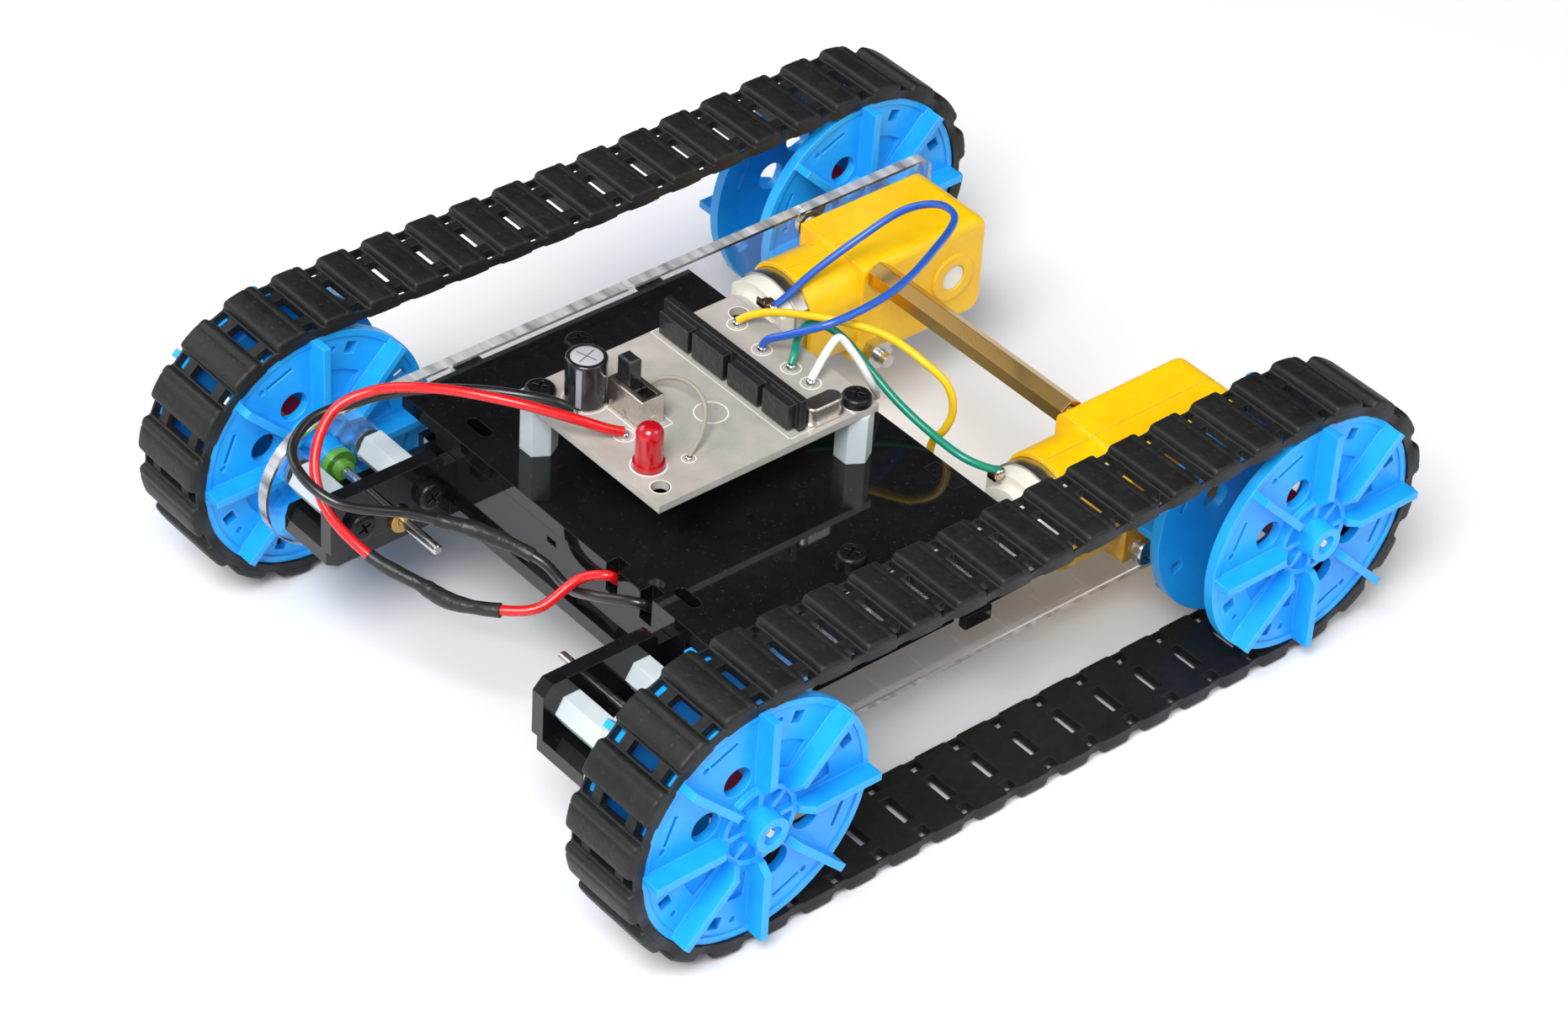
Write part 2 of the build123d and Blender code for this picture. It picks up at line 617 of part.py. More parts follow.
with BuildPart() as belt:
    with BuildSketch(side_plane(BELT_X0)):
        SlotCenterToCenter(WHEELBASE, 2 * BELT_WEB_R)
        SlotCenterToCenter(WHEELBASE, 2 * BELT_IN_R, mode=Mode.SUBTRACT)
    extrude(amount=BELT_X1 - BELT_X0)
    # pads, midway between the holes
    with BuildSketch(side_plane(BELT_X0 + PAD_INSET)):
        for station in belt_stations(0.5):
            with BuildLine():
                Polyline(*at_station(station, PAD_OUTLINE), close=True)
            make_face()
    extrude(amount=BELT_X1 - BELT_X0 - 2 * PAD_INSET)
    for x0, x1 in BELT_HOLE_ROWS:
        with BuildSketch(side_plane(x0)):
            for station in belt_stations(0):
                with BuildLine():
                    Polyline(*at_station(station, BELT_HOLE_OUTLINE), close=True)
                make_face()
        extrude(amount=x1 - x0, mode=Mode.SUBTRACT)
save_pair(belt, "track_belt")

# ---------------------------------------------------------------- gearbox cases
CASE_Y0, CASE_Y1 = 41.5, 73.3
CAVITY_X0, CAVITY_X1 = 28.3, 44.0
# y, radius
CAVITY_BORES = [(REAR_AXLE_Y, 7.8), (REDUCTION_Y, 7.1), (CROWN_Y, 6.0)]

with BuildPart() as case_full:
    with BuildSketch(side_plane(CASE_X0)):
        with Locations(((CASE_Y0 + CASE_Y1) / 2, 0)):
            Rectangle(CASE_Y1 - CASE_Y0, 22.4)
    extrude(amount=CASE_X1 - CASE_X0)
    fillet(case_full.edges().filter_by(Axis.X).group_by(Axis.Y)[-1], 3.5)
    fillet(case_full.edges().filter_by(Axis.Y).group_by(Axis.X)[0], 2.0)
    # housing round the motor
    with BuildSketch(motor_plane(CASE_Y0 + 0.1)):
        RectangleRounded(17.6, 21.8, 7.5)
    extrude(amount=12.1)
    # raised boss round the output shaft
    with BuildSketch(side_plane(CASE_X0, REAR_AXLE_Y)):
        Circle(5.0)
    extrude(amount=-0.5)

with BuildPart() as case_void:
    with BuildSketch(side_plane(CAVITY_X0)):
        for y, radius in CAVITY_BORES:
            with Locations((y, 0)):
                Circle(radius)
    extrude(amount=CAVITY_X1 - CAVITY_X0)
    # motor seat and shaft passage
    with BuildSketch(motor_plane(41.0)):
        can_profile(10.05, 7.75)
    extrude(amount=13)
    with BuildSketch(motor_plane(46.0)):
        Circle(3.0)
    extrude(amount=7)
    # screw holes and output shaft hole, right through
    with BuildSketch(side_plane(CASE_X0 - 1)):
        with Locations((MOTOR_SCREW_Y, MOTOR_SCREW_Z), (MOTOR_SCREW_Y, -MOTOR_SCREW_Z)):
            Circle(SCREW_HOLE_R)
        with Locations((REAR_AXLE_Y, 0)):
            Circle(2.76)
    extrude(amount=22)
    # gear pin holes
    with BuildSketch(side_plane(27.5)):
        with Locations((REDUCTION_Y, 0), (CROWN_Y, 0)):
            Circle(0.76)
    extrude(amount=17.3)

for half, kept in (("outer", Keep.TOP), ("inner", Keep.BOTTOM)):
    with BuildPart() as case_half:
        add(case_full.part)
        add(case_void.part, mode=Mode.SUBTRACT)
        split(bisect_by=Plane(origin=(MOTOR_X, 0, 0), z_dir=(1, 0, 0)), keep=kept)
    save_pair(case_half, f"gearbox_{half}_half")

# ---------------------------------------------------------------- motors
with BuildPart() as cans:
    for side in SIDES:
        with BuildSketch(motor_plane(CAN_Y1, side)):
            can_profile(10.0, 7.7)
        extrude(amount=CAN_Y1 - CAN_Y0)
        # hollow, open at the front
        with BuildSketch(motor_plane(CAN_Y1 - 0.8, side)):
            can_profile(9.2, 6.9)
        extrude(amount=CAN_Y1 - CAN_Y0, mode=Mode.SUBTRACT)
        with BuildSketch(motor_plane(CAN_Y1 + 1, side)):
            Circle(1.1)
        extrude(amount=3, mode=Mode.SUBTRACT)
save(cans, "motor_cans")

CAP_T, CAP_STEP_T = 3.4, 1.8

with BuildPart() as caps:
    for side in SIDES:
        with BuildSketch(motor_plane(CAN_Y0, side)):
            can_profile(9.6, 7.3)
        extrude(amount=CAP_T)
        with BuildSketch(motor_plane(CAN_Y0 - CAP_T, side)):
            can_profile(7.4, 5.6)
        extrude(amount=CAP_STEP_T)
        with BuildSketch(motor_plane(CAN_Y0 - CAP_T - CAP_STEP_T, side)):
            Circle(2.6)
        extrude(amount=1.4)
        # plug that seats in the can
        with BuildSketch(motor_plane(CAN_Y0 + 1.2, side)):
            can_profile(9.15, 6.85)
        extrude(amount=1.3)
        with BuildSketch(motor_plane(CAN_Y0 + 2, side)):
            Circle(1.06)
        extrude(amount=7, mode=Mode.SUBTRACT)
save(caps, "motor_end_caps")

SHAFT_Y0, SHAFT_Y1 = 21.7, 43.9

with BuildPart() as rotor:
    with BuildSketch(motor_plane(SHAFT_Y1)):
        Circle(1.0)
    extrude(amount=SHAFT_Y1 - SHAFT_Y0)
    # armature with three slots
    with BuildSketch(motor_plane(38.6)):
        Circle(4.2)
        with PolarLocations(4.2, 3):
            Rectangle(3.0, 0.9, mode=Mode.SUBTRACT)
    extrude(amount=9)
    # pinion, with one tooth towards the crown gear
    with BuildSketch(motor_plane(SHAFT_Y1 - 0.1)):
        with BuildLine():
            Polyline(*gear_points(PINION_TEETH, FINE_MODULE), close=True)
        make_face()
    extrude(amount=2.3)
save_pair(rotor, "motor_rotor")

# ---------------------------------------------------------------- gears
GEAR_BORE_R = 0.8
CROWN_TEETH_X0, CROWN_TEETH_X1 = 33.3, 34.75

with BuildPart() as crown_gear:
    # pinion, turned by half a tooth
    with BuildSketch(side_plane(35.3, CROWN_Y)):
        with BuildLine():
            Polyline(*gear_points(PINION_TEETH, FINE_MODULE, math.pi / PINION_TEETH), close=True)
        make_face()
    extrude(amount=2.8)
    # neck
    with BuildSketch(side_plane(33.2, CROWN_Y)):
        Circle(1.5)
    extrude(amount=2.2)
    # crown disc and its face teeth
    with BuildSketch(side_plane(32.2, CROWN_Y)):
        Circle(5.5)
    extrude(amount=1.2)
    with BuildSketch(side_plane(CROWN_TEETH_X0, CROWN_Y)):
        with PolarLocations(4.7, 24, start_angle=7.5):
            with BuildLine():
                Polyline((-0.8, -0.26), (0.8, -0.32), (0.8, 0.32), (-0.8, 0.26), close=True)
            make_face()
    extrude(amount=CROWN_TEETH_X1 - CROWN_TEETH_X0)
    with BuildSketch(side_plane(31, CROWN_Y)):
        Circle(GEAR_BORE_R)
    extrude(amount=9, mode=Mode.SUBTRACT)
save_pair(crown_gear, "crown_gear")

REDUCTION_PINION_X0, REDUCTION_PINION_X1 = 37.9, 41.8

with BuildPart() as reduction_gear:
    with BuildSketch(side_plane(35.6, REDUCTION_Y)):
        with BuildLine():
            Polyline(*gear_points(GEAR_TEETH, FINE_MODULE), close=True)
        make_face()
    extrude(amount=2.4)
    with BuildSketch(side_plane(REDUCTION_PINION_X0, REDUCTION_Y)):
        with BuildLine():
            Polyline(*gear_points(PINION_TEETH, COARSE_MODULE), close=True)
        make_face()
    extrude(amount=REDUCTION_PINION_X1 - REDUCTION_PINION_X0)
    with BuildSketch(side_plane(35, REDUCTION_Y)):
        Circle(GEAR_BORE_R)
    extrude(amount=9, mode=Mode.SUBTRACT)
save_pair(reduction_gear, "reduction_gear")

OUTPUT_R = 2.7                            # shaft at both ends
OUTPUT_OUT_X0, OUTPUT_OUT_X1 = 43.7, 54.5    # outward end of the shaft

with BuildPart() as output_gear:
    # gear, turned by half a tooth
    with BuildSketch(side_plane(38.5, REAR_AXLE_Y)):
        with BuildLine():
            Polyline(*gear_points(GEAR_TEETH, COARSE_MODULE, math.pi / GEAR_TEETH), close=True)
        make_face()
    extrude(amount=3.0)
    # shaft: thin middle, then the inward and outward ends
    with BuildSketch(side_plane(28.5, REAR_AXLE_Y)):
        Circle(2.0)
    extrude(amount=15.3)
    with BuildSketch(side_plane(26.6, REAR_AXLE_Y)):
        Circle(OUTPUT_R)
    extrude(amount=2.0)
    with BuildSketch(side_plane(OUTPUT_OUT_X0, REAR_AXLE_Y)):
        Circle(OUTPUT_R)
    extrude(amount=OUTPUT_OUT_X1 - OUTPUT_OUT_X0)
    with BuildSketch(side_plane(47.5, REAR_AXLE_Y)):
        Circle(PIN_FIT_R)
    extrude(amount=8, mode=Mode.SUBTRACT)
    # two flats on the outward end
    with BuildSketch(side_plane(50.0, REAR_AXLE_Y)):
        with Locations((2.9, 0), (-2.9, 0)):
            Rectangle(2.1, 8)
    extrude(amount=5, mode=Mode.SUBTRACT)
save_pair(output_gear, "output_gear")

GEAR_PIN_X0, GEAR_PIN_X1 = 27.6, 44.7

with BuildPart() as gear_pins:
    for side in SIDES:
        for y in (CROWN_Y, REDUCTION_Y):
            with BuildSketch(side_plane(side * GEAR_PIN_X0, y)):
                Circle(0.74)
            extrude(amount=side * (GEAR_PIN_X1 - GEAR_PIN_X0))
save(gear_pins, "gear_pins")

# ---------------------------------------------------------------- control board
with BuildPart() as board:
    with BuildSketch(level_plane(BOARD_Z0)):
        with Locations((-1.9, -19.7)):
            Rectangle(40.4, 49.6)
        with Locations(*BOARD_HOLES, *BOARD_FREE_HOLES):
            Circle(SCREW_HOLE_R, mode=Mode.SUBTRACT)
    extrude(amount=BOARD_Z1 - BOARD_Z0)
save(board, "control_board")

CAPACITOR_XY = (-13.0, -36.1)
CAPACITOR_H = 9.6

with BuildPart() as capacitor:
    with BuildSketch(level_plane(BOARD_Z1, *CAPACITOR_XY)):
        Circle(3.8)
    extrude(amount=CAPACITOR_H)
    fillet(capacitor.edges().filter_by(GeomType.CIRCLE), 0.5)
    with BuildSketch(level_plane(BOARD_Z1 + CAPACITOR_H, *CAPACITOR_XY)):
        Circle(3.0)
    extrude(amount=-0.25, mode=Mode.SUBTRACT)
save(capacitor, "capacitor")

SWITCH_X, SWITCH_Y = -4.9, -31.4
SLIDER_X = SWITCH_X - 2.0

with BuildPart() as switch:
    with BuildSketch(level_plane(BOARD_Z1, SWITCH_X, SWITCH_Y)):
        Rectangle(9.6, 5.0)
    extrude(amount=6.0)
    fillet(switch.edges().filter_by(Axis.X).group_by(Axis.Z)[-1], 0.4)
    with BuildSketch(level_plane(BOARD_Z1 + 3.0, SWITCH_X, SWITCH_Y)):
        Rectangle(8.4, 2.7)
    extrude(amount=4, mode=Mode.SUBTRACT)
save(switch, "switch_body")

with BuildPart() as slider:
    with BuildSketch(level_plane(BOARD_Z1 + 3.05, SLIDER_X, SWITCH_Y)):
        Rectangle(4.0, 2.5)
    extrude(amount=1.6)
    with BuildSketch(level_plane(BOARD_Z1 + 4.5, SLIDER_X, SWITCH_Y)):
        Rectangle(3.4, 2.5)
    extrude(amount=6.6)
    chamfer(slider.faces().sort_by(Axis.Z)[-1].edges(), 0.3)
save(slider, "switch_slider")

LED_XY = (8.2, -38.8)

with BuildPart() as led:
    for radius, height in ((2.9, 1.1), (2.5, 9.0)):
        with BuildSketch(level_plane(BOARD_Z1, *LED_XY)):
            Circle(radius)
        extrude(amount=height)
    fillet(led.edges().filter_by(GeomType.CIRCLE).group_by(Axis.Z)[-1], 2.2)
save(led, "indicator_led")

# x, width, height of the blocks on the front of the upright receiver board
RECEIVER_BLOCKS = [(-16.5, 8.0, 4.6), (-7.0, 8.6, 5.2), (2.8, 8.2, 4.6), (11.8, 7.0, 5.0)]

with BuildPart() as receiver:
    with BuildSketch(level_plane(BOARD_Z1, -2.6, -11.0)):
        Rectangle(38.0, 1.4)
    extrude(amount=6.6)
    for x, width, height in RECEIVER_BLOCKS:
        with BuildSketch(level_plane(BOARD_Z1 + 0.6, x, -12.6)):
            Rectangle(width, 2.0)
        extrude(amount=height)
save(receiver, "receiver_module")

CRYSTAL_XY = (15.0, -5.5)

with BuildPart() as crystal:
    # length, width, height of the flange and of the can
    for length, width, height in ((9.0, 4.6, 0.5), (8.2, 3.8, 3.7)):
        with BuildSketch(level_plane(BOARD_Z1, *CRYSTAL_XY)):
            SlotOverall(length, width, rotation=90)
        extrude(amount=height)
    fillet(crystal.faces().sort_by(Axis.Z)[-1].edges(), 0.5)
save(crystal, "crystal")

# ---------------------------------------------------------------- cables
ANTENNA_R, BATTERY_LEAD_R, MOTOR_LEAD_R = 0.4, 0.95, 0.75
# name: radius, then the x, y, z stations of the centre line, z from the axles
CABLES = {
    "antenna_wire": (ANTENNA_R, [
        (-9.2, -26.4, 23.95), (-7.6, -23.6, 26.0), (-2.3, -22.0, 27.8),
        (4.4, -23.4, 27.6), (8.8, -27.6, 25.8), (10.8, -32.0, 23.95)]),
    "battery_lead_red": (BATTERY_LEAD_R, [
        (15.4, -49.0, 7.6), (15.4, -50.6, 8.4), (15.3, -52.6, 10.3), (11.4, -55.6, 8.6),
        (9.1, -62.9, 4.0), (4.8, -67.8, 3.0), (-3.3, -72.6, 2.0), (-9.0, -74.3, 2.5),
        (-18.4, -79.0, 5.5), (-27.1, -82.0, 12.0), (-33.0, -79.9, 18.0), (-35.3, -74.1, 24.5),
        (-32.6, -67.7, 27.5), (-24.1, -61.5, 30.5), (-13.6, -53.8, 31.0), (-5.2, -45.2, 28.4),
        (-1.6, -39.6, 25.6), (-0.8, -37.4, 24.7)]),
    "battery_lead_black": (BATTERY_LEAD_R, [
        (24.8, -49.0, 7.6), (24.8, -50.6, 8.4), (24.2, -52.8, 10.2), (16.1, -56.1, 8.0),
        (7.6, -55.4, 4.0), (0.4, -55.6, 5.2), (-8.8, -62.2, 9.0), (-13.5, -67.0, 10.5),
        (-17.2, -71.6, 12.0), (-23.0, -81.9, 15.2), (-29.9, -84.3, 17.4), (-36.3, -82.4, 19.0),
        (-39.1, -76.5, 21.0), (-36.7, -69.0, 23.0), (-30.9, -60.7, 25.5), (-23.3, -53.7, 27.2),
        (-16.7, -48.1, 27.7), (-12.2, -43.0, 26.4), (-10.8, -40.9, 24.7)]),
    "motor_lead_blue": (MOTOR_LEAD_R, [
        (-6.2, -1.5, 24.4), (-5.2, -1.2, 26.2), (-1.7, 0.7, 28.6), (4.0, 6.2, 32.4),
        (3.8, 19.2, 33.0), (-3.6, 36.4, 31.0), (-11.7, 48.9, 29.0), (-18.4, 51.0, 27.0),
        (-25.0, 48.8, 23.0), (-29.0, 40.7, 17.0), (-30.7, 31.1, 12.0), (-30.5, 26.0, 9.8),
        (-30.4, 22.5, 8.7)]),
    "motor_lead_white": (MOTOR_LEAD_R, [
        (6.6, -0.8, 24.4), (6.4, 0.6, 26.0), (5.7, 3.5, 28.4), (5.0, 6.6, 29.4),
        (6.6, 8.6, 26.5), (9.2, 11.6, 19.5), (4.0, 17.5, 11.0), (-10.0, 20.0, 2.0),
        (-22.0, 21.6, -2.6), (-28.05, 22.2, -3.5)]),
    "motor_lead_yellow": (MOTOR_LEAD_R, [
        (-14.7, -0.2, 24.4), (-13.4, 1.4, 25.6), (-10.6, 3.7, 27.0), (-3.8, 6.8, 29.0),
        (2.5, 10.5, 29.6), (9.3, 13.8, 29.5), (17.5, 16.0, 27.5), (21.8, 18.1, 24.0),
        (23.0, 18.8, 19.0), (22.1, 18.2, 14.5), (19.6, 18.0, 10.5), (18.6, 18.6, 5.5),
        (22.0, 20.4, -0.5), (28.05, 22.2, -3.5)]),
    "motor_lead_green": (MOTOR_LEAD_R, [
        (1.1, -0.8, 24.4), (0.4, 0.4, 25.6), (-2.3, 3.5, 26.4), (-4.4, 7.8, 26.2),
        (-2.7, 10.6, 25.6), (0.8, 12.2, 24.0), (6.1, 13.4, 20.5), (12.9, 14.6, 16.6),
        (20.2, 16.0, 13.8), (28.1, 17.6, 12.0), (31.6, 20.4, 10.6), (32.4, 22.5, 9.7)]),
}

for name, (radius, stations) in CABLES.items():
    with BuildPart() as cable:
        with BuildLine() as path:
            Spline(*[(x, y, AXLE_HEIGHT + z) for x, y, z in stations])
        with BuildSketch(Plane(origin=path.line @ 0, z_dir=path.line % 0)):
            Circle(radius)
        sweep()
    save(cable, name)
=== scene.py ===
# A small tracked vehicle: two rubber belts, two geared motors and a circuit board on acrylic
# plates. X runs across it, Y along it with the axles at equal distances from the middle, and Z
# points up from the ground at 0. Shapes are in millimetres and are scaled to metres as meshes;
# materials, lights and camera are in metres.
import bpy
import bmesh
import json
import math
import random
from mathutils import Vector, Matrix


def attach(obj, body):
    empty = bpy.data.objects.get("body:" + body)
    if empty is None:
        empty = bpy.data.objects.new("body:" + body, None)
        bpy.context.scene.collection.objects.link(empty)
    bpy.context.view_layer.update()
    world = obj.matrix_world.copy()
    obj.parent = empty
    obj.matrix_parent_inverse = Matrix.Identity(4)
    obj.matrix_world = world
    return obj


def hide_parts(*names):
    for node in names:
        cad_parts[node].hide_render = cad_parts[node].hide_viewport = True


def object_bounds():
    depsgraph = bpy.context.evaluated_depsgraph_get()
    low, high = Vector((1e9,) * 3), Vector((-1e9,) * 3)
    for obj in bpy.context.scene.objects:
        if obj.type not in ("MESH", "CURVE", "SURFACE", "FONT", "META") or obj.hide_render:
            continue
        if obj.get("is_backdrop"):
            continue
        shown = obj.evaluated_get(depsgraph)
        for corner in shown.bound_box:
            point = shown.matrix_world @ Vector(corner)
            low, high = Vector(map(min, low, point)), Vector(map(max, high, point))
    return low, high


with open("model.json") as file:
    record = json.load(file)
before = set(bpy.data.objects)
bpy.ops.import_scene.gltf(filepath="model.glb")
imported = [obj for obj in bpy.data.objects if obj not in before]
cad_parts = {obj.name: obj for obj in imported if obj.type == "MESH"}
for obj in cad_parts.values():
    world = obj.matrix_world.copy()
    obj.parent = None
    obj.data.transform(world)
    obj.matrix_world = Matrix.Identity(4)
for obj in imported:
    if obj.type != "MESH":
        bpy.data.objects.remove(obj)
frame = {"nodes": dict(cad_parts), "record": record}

random.seed(7)
CAD_LOW, CAD_HIGH = (Vector(corner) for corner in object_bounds())
MM = 0.001
scene = bpy.context.scene

# ------------------------------------------------------------------ driving sizes
WHEELBASE = 129.0
SPAN_LINKS = 13                 # belt links between the axles
WHEEL_TEETH = 16
LINKS = 2 * SPAN_LINKS + WHEEL_TEETH
PITCH = WHEELBASE / SPAN_LINKS
BELT_LENGTH = PITCH * LINKS
NEUTRAL_RADIUS = WHEEL_TEETH * PITCH / (2 * math.pi)
WEB_INNER = NEUTRAL_RADIUS - 0.9
WEB_OUTER = NEUTRAL_RADIUS + 0.9
AXLE_Z = WEB_OUTER + 1.6        # the belt pads stand on the ground
LOW_AXLE_Y, HIGH_AXLE_Y = -WHEELBASE / 2, WHEELBASE / 2
BOARD_Z = AXLE_Z + 23.6         # top face of the circuit board
BOARD_UNDERSIDE_Z = AXLE_Z + 22.0
PRINT_Z = BOARD_Z + 0.002
MOTOR_X = 36.15


# ------------------------------------------------------------------ shader helpers
def add_node(tree, kind, inputs=None, **settings):
    """Add a node; each input is given as a value or as the socket that feeds it."""
    node = tree.nodes.new(kind)
    for name, value in settings.items():
        setattr(node, name, value)
    for key, source in (inputs or {}).items():
        if isinstance(source, bpy.types.NodeSocket):
            tree.links.new(source, node.inputs[key])
        else:
            node.inputs[key].default_value = source
    return node


def add_math(tree, operation, *values):
    return add_node(tree, "ShaderNodeMath", dict(enumerate(values)), operation=operation).outputs[0]


def add_mix(tree, factor, first, second, **settings):
    inputs = {"Factor": factor, "A": first, "B": second}
    node = add_node(tree, "ShaderNodeMix", inputs, data_type="RGBA", **settings)
    return node.outputs["Result"]


def add_ramp(tree, factor, start, end, low=(0, 0, 0), high=(1, 1, 1)):
    node = add_node(tree, "ShaderNodeValToRGB", {"Fac": factor})
    for element, position, color in zip(node.color_ramp.elements, (start, end), (low, high)):
        element.position = position
        element.color = (*color, 1)
    return node.outputs["Color"]


def add_noise(tree, vector, scale, detail, **more):
    inputs = {"Vector": vector, "Scale": scale, "Detail": detail, **more}
    return add_node(tree, "ShaderNodeTexNoise", inputs).outputs["Fac"]


def add_object_vector(tree, stretch):
    coordinates = add_node(tree, "ShaderNodeTexCoord").outputs["Object"]
    mapping = add_node(tree, "ShaderNodeMapping", {"Vector": coordinates, "Scale": stretch})
    return mapping.outputs["Vector"]


def new_material(name):
    material = bpy.data.materials.new(name)
    material.use_nodes = True
    material.node_tree.nodes.clear()
    return material


def add_output(tree, shader):
    add_node(tree, "ShaderNodeOutputMaterial", {"Surface": shader})


def add_wear(tree, color, rounded_normal, amount, wear_color):
    """Lighten the edges, where the rounded normal leaves the face's own."""
    face_normal = add_node(tree, "ShaderNodeNewGeometry").outputs["Normal"]
    agreement = add_node(tree, "ShaderNodeVectorMath", {0: rounded_normal, 1: face_normal},
                         operation="DOT_PRODUCT")
    edge_mask = add_node(tree, "ShaderNodeMapRange", {
        "Value": agreement.outputs["Value"], "From Min": 0.985, "From Max": 0.86})
    factor = add_math(tree, "MULTIPLY", edge_mask.outputs["Result"], amount)
    return add_mix(tree, factor, color, (*wear_color, 1))


def add_spots(tree, color, vector, scale, start, end, amount, spot_color):
    """Scatter spots where the noise passes from start to end."""
    noise = add_noise(tree, vector, scale, detail=3)
    factor = add_math(tree, "MULTIPLY", add_ramp(tree, noise, start, end), amount)
    return add_mix(tree, factor, color, (*spot_color, 1))


def add_surface(tree, base, tone_spread=0.12, light_tone=None, noise_scale=350.0,
                stretch=(1, 1, 1), rough=0.4, rough_spread=0.12, metal=0.0, specular=0.5, ior=1.5,
                coat=0.0, transmission=0.0, subsurface=0.0, subsurface_radius=(1.0, 1.0, 1.0),
                bump=0.15, bump_scale=1400.0, bump_depth=0.00006,
                edge=0.00022, wear=0.15, wear_color=None, spots=None):
    """Mottled surface with fine relief and, if edge is set, softly rounded and worn edges."""
    vector = add_object_vector(tree, stretch)
    fine = add_noise(tree, vector, noise_scale, detail=6, Roughness=0.6)
    coarse = add_noise(tree, vector, noise_scale * 0.16, detail=4)
    mottle = add_math(tree, "ADD", add_math(tree, "MULTIPLY", coarse, 0.6),
                      add_math(tree, "MULTIPLY", fine, 0.4))
    dark_tone = [max(0.0, c * (1 - tone_spread)) for c in base]
    if light_tone is None:
        light_tone = [min(1.0, c * (1 + tone_spread) + 0.004) for c in base]
    color = add_ramp(tree, mottle, 0.3, 0.7, dark_tone, light_tone)

    relief = {"Strength": bump, "Distance": bump_depth}
    if edge:
        bevel = add_node(tree, "ShaderNodeBevel", {"Radius": edge}, samples=4)
        relief["Normal"] = bevel.outputs["Normal"]
        if wear:
            wear_color = wear_color or [min(1, c * 1.5 + 0.05) for c in base]
            color = add_wear(tree, color, bevel.outputs["Normal"], wear, wear_color)
    if spots:
        color = add_spots(tree, color, vector, **spots)

    roughness = add_node(tree, "ShaderNodeMapRange", {
        "Value": fine,
        "To Min": max(0.02, rough - rough_spread),
        "To Max": min(1.0, rough + rough_spread)})
    relief["Height"] = add_noise(tree, vector, bump_scale, detail=3)
    inputs = {
        "Base Color": color,
        "Roughness": roughness.outputs["Result"],
        "Normal": add_node(tree, "ShaderNodeBump", relief).outputs["Normal"],
        "Metallic": metal,
        "IOR": ior,
        "Specular IOR Level": specular,
        "Coat Weight": coat,
        "Coat Roughness": 0.08,
        "Transmission Weight": transmission,
    }
    if subsurface:
        inputs.update({"Subsurface Weight": subsurface, "Subsurface Scale": 0.0012,
                       "Subsurface Radius": subsurface_radius})
    return add_node(tree, "ShaderNodeBsdfPrincipled", inputs).outputs[0]


def make_surface(name, **settings):
    material = new_material(name)
    tree = material.node_tree
    add_output(tree, add_surface(tree, **settings))
    return material


def make_acrylic(name):
    """Clear sheet: polished faces, frosted cut edges, and light passing to the ground."""
    material = new_material(name)
    tree = material.node_tree
    polished = add_surface(tree, base=(0.93, 0.91, 0.9), tone_spread=0.02, rough=0.04,
                           rough_spread=0.03, transmission=1.0, ior=1.49, bump=0.05,
                           bump_scale=300, edge=0, wear=0)
    streaks = add_noise(tree, add_object_vector(tree, (0.15, 1.0, 1.0)), scale=420, detail=5)
    relief = add_node(tree, "ShaderNodeBump", {
        "Height": streaks, "Strength": 0.5, "Distance": 0.0001})
    frosted = add_node(tree, "ShaderNodeBsdfPrincipled", {
        "Base Color": add_ramp(tree, streaks, 0.32, 0.68, low=(0.3, 0.3, 0.3)),
        "Roughness": 0.22,
        "Transmission Weight": 0.4,
        "IOR": 1.49,
        "Normal": relief.outputs["Normal"]})
    # the polished faces look along X; every other face is a cut edge
    normal = add_node(tree, "ShaderNodeNewGeometry").outputs["True Normal"]
    split = add_node(tree, "ShaderNodeSeparateXYZ", {"Vector": normal})
    is_cut = add_math(tree, "LESS_THAN", add_math(tree, "ABSOLUTE", split.outputs["X"]), 0.5)
    sheet = add_node(tree, "ShaderNodeMixShader", {0: is_cut, 1: polished, 2: frosted.outputs[0]})
    is_shadow = add_node(tree, "ShaderNodeLightPath").outputs["Is Shadow Ray"]
    see_through = add_node(tree, "ShaderNodeBsdfTransparent", {"Color": (0.9, 0.92, 0.92, 1)})
    lit = add_node(tree, "ShaderNodeMixShader", {
        0: is_shadow, 1: sheet.outputs[0], 2: see_through.outputs[0]})
    add_output(tree, lit.outputs[0])
    return material


# ------------------------------------------------------------------ materials
PLAIN = dict(wear=0, edge=0)
WIRE = dict(PLAIN, bump=0.2)
# sparse pale specks on the black sheet, and broad faint dust on the belts
SPECKS = dict(scale=350 * 5.0, start=0.64, end=0.72, amount=0.03, spot_color=(0.6, 0.58, 0.55))
DUST = dict(scale=350 * 1.7, start=0.5, end=0.8, amount=0.1, spot_color=(0.07, 0.068, 0.066))

